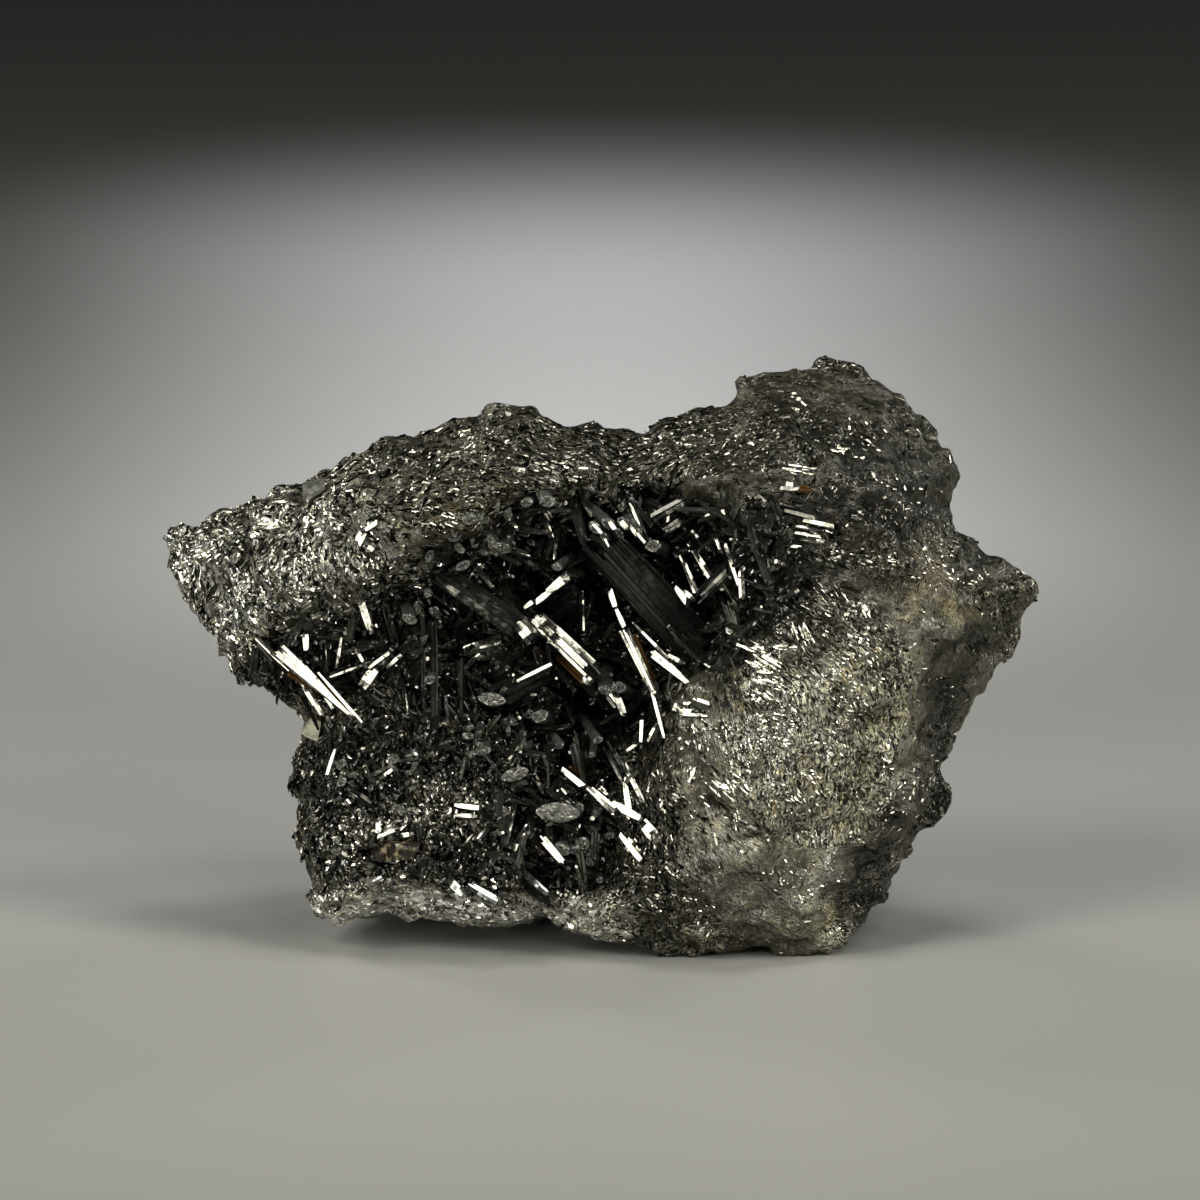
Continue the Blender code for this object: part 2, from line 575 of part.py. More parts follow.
def main():
    clear_scene()
    scene = bpy.context.scene.collection
    specimen = bpy.data.collections.new("manganite_specimen")
    helpers = bpy.data.collections.new("helpers")
    scene.children.link(specimen)
    scene.children.link(helpers)

    block, sheet, front_faces = block_surfaces()
    verts = [v.co.copy() for v in block.verts]
    massive = material("massive_manganite", (0.09, 0.088, 0.075, 1.0), 0.5, 0.6)
    crystals = material("manganite_crystals", (0.11, 0.11, 0.115, 1.0), 0.25, 0.9)
    wall = BVHTree.FromPolygons(verts, front_faces)
    behind = behind_the_front(verts, front_faces, helpers)
    mesh_object("matrix", block, specimen, massive)
    crystal_crust(verts, sheet, front_faces, wall, behind, helpers, specimen, crystals)
    for name, x, h, size, lean, colour in GRAINS:
        grain(name, x, h, size, lean, colour, wall, behind, specimen)


main()
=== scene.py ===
"""The looks of a manganite specimen: a broken block of grainy manganite with a crystal-lined hollow.

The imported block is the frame. Its fine skin, the grains on it and the crystals in its hollow are built here.
Lengths are in millimetres until a mesh is made. As in the block's own source, a place on the front is given
as seen along a line of sight that comes down at SIGHT_DOWN: x to the right, h upwards and y deep.
"""

import math
import random

import bmesh
import bpy
import numpy as np
from mathutils import Matrix, Vector, noise
from mathutils.bvhtree import BVHTree


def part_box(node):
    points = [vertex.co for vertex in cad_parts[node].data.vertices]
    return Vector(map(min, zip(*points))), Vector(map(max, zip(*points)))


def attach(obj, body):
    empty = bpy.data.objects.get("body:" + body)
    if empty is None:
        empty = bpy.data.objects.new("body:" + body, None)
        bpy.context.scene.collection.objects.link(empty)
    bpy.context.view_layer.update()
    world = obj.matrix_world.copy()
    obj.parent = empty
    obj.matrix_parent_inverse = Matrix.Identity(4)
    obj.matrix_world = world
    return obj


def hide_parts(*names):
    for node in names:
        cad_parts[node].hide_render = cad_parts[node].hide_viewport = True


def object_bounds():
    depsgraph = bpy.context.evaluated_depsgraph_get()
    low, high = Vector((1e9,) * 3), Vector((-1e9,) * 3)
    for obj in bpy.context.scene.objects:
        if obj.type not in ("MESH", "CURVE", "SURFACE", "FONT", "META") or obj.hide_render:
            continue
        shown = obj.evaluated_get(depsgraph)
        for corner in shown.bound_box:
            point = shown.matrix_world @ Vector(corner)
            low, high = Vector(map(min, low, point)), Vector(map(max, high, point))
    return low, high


MM = 0.001
SIGHT_DOWN = math.radians(10)
SIGHT = Vector((0, math.cos(SIGHT_DOWN), -math.sin(SIGHT_DOWN)))
RIGHT = Vector((1, 0, 0))
UP = RIGHT.cross(SIGHT)
FOOT_Y = -15.0  # the block's nearest foot, where h is 0
IN_FRONT_Y = -60.0  # well in front of the block

# ---- Camera, lights and floor ----
CAMERA_AWAY = 2000.0
FRAME_WIDTH = 120.0  # what the picture spans at the block
SENSOR = 36.0
CAMERA_AIM = (0.0, 35.7, -10.0)  # the middle of the picture: x, h, y
CLIP_FAR = 20.0  # metres

# Each softbox: name, direction from the block (right, away, up), distance, width, height, radiance, colour.
SOFTBOXES = (
    ("key", (-0.46, -0.62, 0.64), 900, 330, 330, 14, (1, 0.98, 0.86)),
    ("right", (0.78, -0.55, 0.36), 900, 230, 360, 12, (1, 0.975, 0.85)),
    ("top", (0.14, -0.1, 1), 900, 320, 240, 12, (1, 0.985, 0.92)),
    ("left", (-0.93, -0.3, 0.18), 900, 170, 300, 11, (0.97, 0.99, 0.98)),
    ("front", (0.22, -0.92, 0.42), 1100, 270, 270, 12, (1, 0.98, 0.88)),
    ("high_right", (0.42, -0.45, 0.8), 900, 240, 240, 12, (1, 0.98, 0.88)),
    ("low_left", (-0.5, -0.85, 0.12), 1100, 170, 270, 14, (1, 0.98, 0.88)),
    ("rear_left", (-0.62, 0.68, 0.42), 900, 240, 280, 13, (1, 0.98, 0.9)),
    ("rear_right", (0.72, 0.62, 0.3), 900, 200, 280, 12, (0.97, 0.98, 0.98)),
)
BEAM = 46.0  # degrees: a softbox's grid keeps its light to the block and the floor around it
LIT_MIDDLE = (0, 0, 30)  # what the softboxes point at
# A narrow box over the floor behind the block: place, width, length, radiance, beam in degrees.
FLOOR_GLOW = ((0, 330, 520), 36, 300, 330, 18)
WORLD_COLOUR = (0.63, 0.64, 0.64, 1.0)
WORLD_STRENGTH = 0.035
FLOOR_SIDES, BEND_STEPS = 96, 12
FLOOR_MIDDLE, FLOOR_FLAT, FLOOR_BEND, WALL_TOP = 1.4, 2.6, 1.2, 4.0  # metres

# ---- Numbers of the materials ----
MANGANITE_IOR = 2.45
# Painted shade: the black crystals are a copy of the manganite with a lower IOR, so that they reflect less.
SHADED_IOR = 1.65
GLINT = (0.31, 0.302, 0.264)  # what the brightest needles in the stone reflect
GLOSS_TINT = (1.0, 0.98, 0.86, 1.0)  # a warm cast in what the stone reflects
# How strong a glint is: the first number, and the second times the green of the stone's colour there.
LEAST_SHINE, LOCAL_SHINE = 0.6, 2.5
NEEDLE_SHEAF = 2.6  # across a sheaf of the needles in the stone
NEEDLE = (0.42, 0.17)  # their length and width
ANY_TURN = 6.28  # radians
# What the stone's colour is multiplied by in pits, on bare parts and on rusty ones.
PIT_SHADE = (0.25, 0.25, 0.24, 1)
BARE_SHADE = (1.2, 1.18, 1.15, 1)
RUST_SHADE = (1.3, 1.03, 0.72, 1)
GLOW_REACH = (0.001, 0.0008, 0.0005)  # metres that red, green and blue light travel in a pale grain

# ---- Numbers of the skin ----
SKIN_VOXEL = 0.465
INSET = 0.02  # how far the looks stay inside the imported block's box
SKIN_SMOOTH = 2
LUMP = (0.42, 4.2)  # height and size of the lumps in the broken surface
PLATES = ((0.32, 2.7), (0.42, 1.15))  # slope and size of the small planes that it broke along
GRIT = (0.07, 0.42)
MOVE_SMOOTH = 2
# Painted shade: the stone's colour darkens where its surface is low and lightens where it stands out, in place
# of the shade in its creases.
RELIEF_SHADE = 1.3  # how much darker the stone is for each millimetre that it is low
SKIN_LIMIT = 0.9  # no point of the skin moves further than this
GANGUE_ROOM, GANGUE_SINK = 0.6, 0.15  # this near a grain of another mineral, the skin stays this far inside

# ---- The grains on it ----
FRONT_GRAINS = 23000
BACK_GRAINS = 9000
GRAIN_PIECES = 2
GRAIN_SEED = 11
NOISE_SEED = 3
FACING = 0.3  # cosine: grains in front lie on what faces the viewer more than this, and those behind less
LOWEST_FRONT, LOWEST_BACK = 0.4, 0.6  # grains' least height above the floor
BACK_COARSE, BACK_LIFT = 1.2, 0.5  # the grains' size and lift at the back, in parts of those in front
RIGHT_SIDE_X, BACK_SIDE_Y = 8.0, 8.0  # beyond either, the stone is more even
RIGHT_DENSITY = 0.18
# Brightness of the grains, in powers of two.
DARKEST_GRAIN, DARKEST_EVEN_GRAIN, BRIGHTEST_GRAIN = -4.5, -2.8, 0.3
SIZE_SPREAD = (-0.05, 0.42)  # of the grains' sizes, in natural logarithms: the middle and the spread
WAY_STRAY, LIFT_STRAY = 11, 6  # degrees that a grain strays from its sheaf
SHEAF_ROLL, GRAIN_ROLL = 0.45, 0.22  # radians

# Grains of other minerals: deep colour, light colour, roughness, glow, and where the cloud between the two
# colours starts and ends.
GANGUE = {
    "calcite_chip": ((0.36, 0.35, 0.27, 1), (0.6, 0.58, 0.46, 1), 0.25, 0.15, (0.35, 0.65)),
    "quartz_grain": ((0.07, 0.07, 0.065, 1), (0.26, 0.26, 0.24, 1), 0.2, 0.25, (0.35, 0.65)),
    "brown_calcite_grain": ((0.008, 0.005, 0.003, 1), (0.3, 0.25, 0.16, 1), 0.14, 0, (0.5, 0.72)),
}

# ---- The crystals in the hollow ----
CRYSTAL_SEED = 5
THICKET = 1500
SUNK = 0.8  # how deep crystals go into the stone
SHORTEST, MEAN_MORE = 1.4, 2.4  # a small crystal's least length, and how much longer they are on average
NEAREST_Y = -22.5  # no small crystal's tip comes nearer
# How long the small crystals may be to the left of each x, below LOW_H and above it.
LOW_H = 23.0
LONGEST_LOW = ((-27.5, 0), (-24, 1.3), (-11, 2.2), (math.inf, 5.5))
LONGEST_HIGH = ((-17, 4), (math.inf, 5.5))
RIB, CROWN = 0.34, 14.0  # usual width of a lath in a ribbed crystal, and how many degrees it is crowned
BROAD, BROAD_RIB, BROAD_CROWN = 1.9, 0.42, 8.0  # the same for a dark crystal broader than this
LONG, LONG_NEEDLE = 3.4, 0.85  # longer bright crystals have finer ribs, and longer needles shine more evenly
MOST_LEAN = 0.7  # how far a crystal leans to or from the viewer, in parts of its length as seen
FRAY = 0.16  # how uneven the ends of the laths are, in parts of the length
DARK_TRIES = 40  # directions tried for one that mirrors no light
BLACK = np.array((0.006, 0.006, 0.0065))
GREY = np.array((0.045, 0.046, 0.042))
RUST = np.array((0.11, 0.055, 0.018))
END_RINGS = 4  # rings of points on a pitted end
END_OUT, GROUP_OUT = 0.6, 2.2  # how far an end is at least in front of the wall, and at most in a group

KEY, SIDE, TOP, LEFT, FRONT = range(5)  # the first softboxes
STAIN = "stain"
# Crystals as they are seen: foot x, h; tip x, h, y; width at the foot and at the tip; the softbox that they
# mirror, or None for a black one, which gets painted shade by a darker tone and a lower IOR, or STAIN for a
# rusty one.
CRYSTALS = (
    # the broad dark blade over the hollow and its ragged bright end
    (10.4, 30.3, -0.8, 42.5, -14, 4.4, 4.2, None),
    (4.2, 39.7, 10, 31.7, -12.6, 1, 1.4, None),
    (0.2, 42.3, -0.7, 43.3, -15.2, 0.3, 0.3, KEY),
    (1.4, 42.8, 0.7, 43.8, -15.3, 0.5, 0.3, FRONT),
    (2.7, 42.8, 1.9, 43.8, -15.4, 0.6, 0.4, KEY),
    (3.6, 42.2, 2.9, 43.2, -15.2, 0.4, 0.3, FRONT),
    (0.9, 41, 0.4, 42, -15.4, 0.2, 0.2, KEY),
    (4.4, 41.4, 3.6, 42.4, -15, 0.3, 0.3, TOP),
    # the beaded edge of a plate left of it
    (-7.5, 34.9, -6.4, 35.7, -12.6, 0.4, 0.5, KEY),
    (-6.3, 35.5, -5.1, 36.4, -12.6, 0.6, 0.6, KEY),
    (-5.1, 36.5, -3, 38.2, -12.8, 0.7, 1.1, KEY),
    (-5.6, 33.2, -2.4, 36.6, -11.6, 2, 2.4, None),
    # the bright ribbed bar
    (-6.2, 33.8, -0.3, 28.2, -14, 1.6, 1.9, KEY),
    (-1.6, 27.9, -0.8, 27.3, -14, 0.9, 0.7, FRONT),
    (-5.2, 31.4, -1, 27.3, -12.6, 1.2, 1.2, STAIN),
    (-6.4, 33.9, -5.5, 33, -13.6, 1.3, 1.2, FRONT),
    # the long bright rods right of it
    (5.4, 26.5, 2.2, 33.2, -13.4, 0.6, 1, KEY),
    (6.2, 25.7, 2.9, 32.9, -12.9, 0.5, 0.8, STAIN),
    (6.4, 22, 5.2, 26.6, -13.2, 0.3, 0.4, KEY),
    (6.1, 23.3, 5.6, 27.5, -12.6, 0.3, 0.3, SIDE),
    (2.4, 33.1, 1.4, 35.3, -13, 0.5, 0.3, KEY),
    (1.5, 35.1, 1, 36.7, -12.6, 0.5, 0.6, KEY),
    (9, 27.2, 5, 30.7, -13, 0.4, 1, KEY),
    (8.4, 29.3, 6.8, 30.2, -13.6, 0.4, 0.4, KEY),
    (6.8, 29.9, 3.2, 33.5, -12, 0.3, 0.2, KEY),
    (9.7, 25.9, 7.2, 28.9, -13.2, 0.7, 0.5, None),
    (12, 27.3, 9.3, 28, -14.4, 0.4, 0.4, SIDE),
    (11.9, 26.9, 9.7, 27.5, -14.6, 0.5, 0.3, SIDE),
    (14, 26.9, 10.4, 29.3, -15, 0.3, 0.3, TOP),
    (10.1, 24, 7.2, 25.1, -15.6, 1, 0.8, FRONT),
    (10.8, 25.1, 9, 25.7, -15.8, 0.9, 0.9, KEY),
    (10.6, 24.3, 7.8, 24.5, -15.4, 0.6, 0.8, KEY),
    (4.8, 21.6, 5.7, 23.4, -14, 0.3, 0.3, KEY),
    (5.2, 21.5, 6, 23.2, -14, 0.2, 0.3, SIDE),
    (4.1, 21.5, 4.2, 23.7, -14, 0.3, 0.4, KEY),
    (2.7, 20.7, 4, 21.6, -14.2, 0.3, 0.3, SIDE),
    # the wide prisms on the left
    (-16.8, 38.8, -6.8, 32.1, -14.6, 2.2, 2.5, None),
    (-8, 33.3, -6.6, 31.7, -15.2, 1.4, 1.6, FRONT),
    (-17.2, 38.6, -10.9, 42.4, -16.4, 0.6, 0.7, None),
    (-17.6, 38.2, -10.6, 41.7, -16, 0.5, 0.6, None),
    (-17, 37.4, -11.6, 40.6, -15.6, 0.6, 0.6, None),
    (-15.9, 37.2, -12.6, 40.2, -15, 0.5, 0.5, None),
    (-16.6, 22.2, -16.6, 34.5, -12.8, 0.7, 0.7, None),
    (-13.9, 22.8, -13.9, 30.4, -12.6, 0.6, 0.6, None),
    (-14.7, 30.2, -12.7, 34.8, -13, 0.6, 0.6, None),
    (-17.6, 23.4, -17.7, 31.2, -12.4, 0.5, 0.5, None),
    # inside the hollow
    (-2.6, 30.8, -2.4, 36.8, -9, 1.4, 1.3, None),
    (-1.6, 32.6, -1.7, 36.6, -8.6, 0.2, 0.2, KEY),
    (-3.2, 29.6, -10.6, 25.9, -14, 2.2, 2.6, None),
    (-8.2, 27.6, -4.8, 29.3, -14.4, 0.3, 0.4, KEY),
    (-10, 24.5, -6, 26.7, -13.4, 1.2, 1, None),
    (-1.8, 27.6, -8.2, 29.2, -12, 1.6, 1.7, None),
    (3.6, 24.8, 1, 28.2, -10.6, 0.9, 1, None),
    (2.4, 24.2, 1.4, 26.8, -11.6, 0.6, 0.7, FRONT),
    (2.2, 36.8, 1.9, 39.9, -12.2, 0.9, 0.9, None),
    (6.9, 40.2, 9.4, 35.4, -9.6, 0.8, 0.8, None),
    (7.9, 40.7, 9.8, 36, -10.2, 0.4, 0.6, KEY),
    (8.9, 41.4, 11.3, 37.6, -11, 0.4, 0.7, KEY),
    (7.6, 36.9, 8.8, 35.4, -11.6, 0.4, 0.8, KEY),
    (8.4, 36.6, 9.4, 35.7, -11.8, 0.4, 0.5, KEY),
    (14.6, 40.6, 9.4, 35.4, -12.6, 1.6, 1.5, None),
    (14.2, 35.9, 14, 39.7, -16.6, 0.6, 0.5, KEY),
    (12.5, 41.2, 13.8, 37.2, -15.6, 0.4, 0.3, KEY),
    (11.6, 41.7, 12.2, 40.3, -15.8, 0.3, 0.3, KEY),
    (16, 40.2, 14, 41.5, -17, 0.3, 0.3, TOP),
    (20, 40.9, 14.1, 41.4, -18.2, 0.3, 0.5, TOP),
    (18.9, 40.9, 17.5, 41.2, -18.4, 0.5, 0.6, SIDE),
    (18.2, 40.1, 14.4, 41, -17.6, 0.5, 0.4, None),
    (22.2, 41.4, 20, 41.7, -19, 0.4, 0.4, TOP),
    (21.8, 42, 19.3, 42.4, -19.2, 0.3, 0.3, SIDE),
    (23.2, 43, 20.3, 43.6, -19, 0.4, 0.4, KEY),
    (21.6, 42.7, 19.5, 43, -19.2, 0.3, 0.3, TOP),
    (19.6, 42.9, 15.6, 46.1, -17, 0.5, 0.5, None),
    (20.8, 43.7, 17, 45.4, -17.8, 1.1, 1.4, None),
    (22.2, 43.8, 17.5, 45.1, -18.4, 1, 1.2, None),
    (19.7, 46.9, 17.7, 47.1, -18.6, 0.7, 1, FRONT),
    (21.2, 46.6, 19.6, 46.8, -18.4, 0.7, 0.8, STAIN),
    (10.2, 44.9, 6, 42.4, -13.6, 1.1, 1.2, None),
    (9.2, 46, 4.8, 43.6, -15.2, 0.9, 1, None),
    (14.4, 41.4, 14.2, 45.4, -16, 0.2, 0.2, None),
    (12.6, 44.5, 11.9, 44.3, -15.4, 0.5, 0.6, FRONT),
    (11.1, 44.1, 10.4, 44.1, -15, 0.3, 0.4, FRONT),
    (9.4, 42.5, 9, 42.5, -14.4, 0.3, 0.3, FRONT),
    # under the left wing
    (-24.7, 24, -32.9, 31.2, -13.2, 0.3, 1.4, KEY),
    (-28.4, 27.4, -32.5, 31, -13, 1, 1.5, KEY),
    (-25, 24.5, -28.2, 27.3, -12.6, 0.3, 0.8, STAIN),
    (-23.8, 23.5, -28.2, 28.5, -12.8, 0.3, 0.3, KEY),
    (-25.3, 24.4, -30, 29.7, -12.4, 0.3, 0.3, TOP),
    (-27, 26.3, -31, 28.9, -12.2, 1.2, 1.6, STAIN),
    (-22.5, 28.7, -23.8, 26.8, -14.8, 1.1, 1.1, KEY),
    (-23, 28.9, -21, 30.4, -14.2, 0.3, 0.4, KEY),
    (-23.4, 29, -24.4, 30.8, -14, 0.3, 0.3, FRONT),
    (-21.2, 28.9, -19.8, 30.2, -14.6, 0.3, 0.4, KEY),
    (-29.3, 30.7, -29.4, 32.6, -13, 0.5, 0.7, KEY),
    (-22.8, 32.5, -23.9, 35.8, -14.6, 0.6, 0.7, KEY),
    (-26.4, 28.9, -25.9, 32, -11.6, 0.3, 0.3, SIDE),
    (-27, 28, -22.6, 29.6, -11.2, 0.2, 0.3, SIDE),
    (-21.2, 28.8, -20.5, 21.9, -14, 1.6, 2, None),
    (-34.4, 32, -34.9, 27.8, -7.6, 0.7, 0.8, None),
    (-33.2, 31.8, -33.8, 27, -8.2, 0.6, 0.6, None),
    (-32, 31.6, -32.6, 26.4, -8.8, 0.8, 0.8, None),
    (-31, 30.6, -31.5, 26.2, -9.4, 0.5, 0.5, None),
    (-29.8, 27.6, -27.6, 23.8, -11.6, 0.8, 0.5, KEY),
    (-28.4, 27.8, -26.4, 24.4, -11.8, 0.5, 0.4, LEFT),
    (-30.4, 26.7, -28.2, 22.8, -11.4, 0.4, 0.4, None),
    (-23.6, 42.3, -24.2, 41.1, -15.6, 0.9, 0.8, KEY),
    (-22.6, 41.2, -23.2, 40.4, -15.6, 0.7, 0.6, FRONT),
    (-23.4, 42.6, -22.2, 43.4, -15.4, 0.4, 0.5, KEY),
    # the lens-shaped ends below, and the blades beside them
    (-1.7, 17.1, -3.8, 18.8, -15.2, 0.6, 0.5, KEY),
    (-1.3, 17.3, -3, 19, -14.8, 0.4, 0.3, STAIN),
    (1.4, 14.7, -1.2, 17.1, -16.4, 0.9, 0.6, KEY),
    (4, 13.9, 1.2, 15.4, -16.9, 0.7, 0.8, KEY),
    (5.5, 12, 4, 13.8, -17.2, 1.2, 1, KEY),
    (4.1, 9.7, 2, 12.3, -17.2, 0.6, 0.5, KEY),
    (3.4, 16, 0.4, 21.7, -12.6, 1.1, 1.2, None),
    (4.4, 15.2, 2, 20, -13, 0.5, 0.6, TOP),
    (3, 14.2, 2.4, 18.1, -14, 0.6, 0.5, KEY),
    (2.6, 17.5, 3.8, 18.7, -14.4, 0.4, 0.4, SIDE),
    (-7.4, 10.5, -9.8, 11.6, -17.4, 0.8, 0.7, KEY),
    (-7.2, 10.1, -9.6, 11.1, -17, 0.6, 0.6, STAIN),
    (-3.7, 9.5, -5.9, 12.1, -17.6, 0.6, 0.8, KEY),
    (-4, 9.1, -6.4, 11.5, -17, 0.8, 0.8, STAIN),
    (-12, 14.9, -14.6, 15.2, -17, 0.5, 0.5, KEY),
    (-12.2, 14.1, -14.4, 14.2, -17, 0.4, 0.4, KEY),
    (-14.4, 14, -14.4, 15.3, -17.2, 0.4, 0.4, KEY),
    (-10, 5.6, -13.2, 7.4, -18.2, 0.9, 0.8, LEFT),
    (-9, 5.2, -12.4, 6.1, -18.8, 0.7, 0.7, KEY),
    (-13.4, 6.2, -15.4, 8.2, -17.6, 0.8, 1, LEFT),
    (-19.8, 6.4, -21.2, 6.6, -16.6, 0.6, 0.6, TOP),
    (-14.2, 5.9, -15.6, 6, -17.2, 0.6, 0.5, TOP),
    (-8, 12, -12.6, 15.4, -16.6, 0.4, 0.4, None),
    (-6, 7.2, -9.5, 9.5, -17.6, 0.8, 0.8, None),
    (-5.2, 6.4, -8, 8.9, -17.8, 0.6, 0.6, LEFT),
    (-4, 7.7, -7, 9.9, -17.4, 0.8, 0.6, None),
    (-22, 14.6, -25.4, 17, -15, 0.8, 0.8, None),
    (-18.6, 12.3, -20, 12.1, -17.6, 0.4, 0.5, KEY),
    (-20.4, 12.7, -22.2, 12, -17.6, 0.3, 0.4, LEFT),
    (-19.4, 12.9, -20.6, 12.4, -17.4, 0.3, 0.3, None),
    (-17.8, 11.4, -18.2, 13.2, -17.6, 0.6, 0.5, None),
    (-23.4, 10.2, -22.4, 12.4, -17.4, 0.5, 0.5, None),
    (-18.6, 9.3, -21.8, 9.8, -17.8, 0.5, 0.4, TOP),
    (-21, 8.8, -23.4, 9.9, -17.6, 0.5, 0.4, None),
    (-27.2, 18.2, -26.4, 20.8, -14.4, 0.4, 0.4, LEFT),
    (-26.5, 18.7, -27, 22.2, -14.4, 0.6, 0.6, None),
)
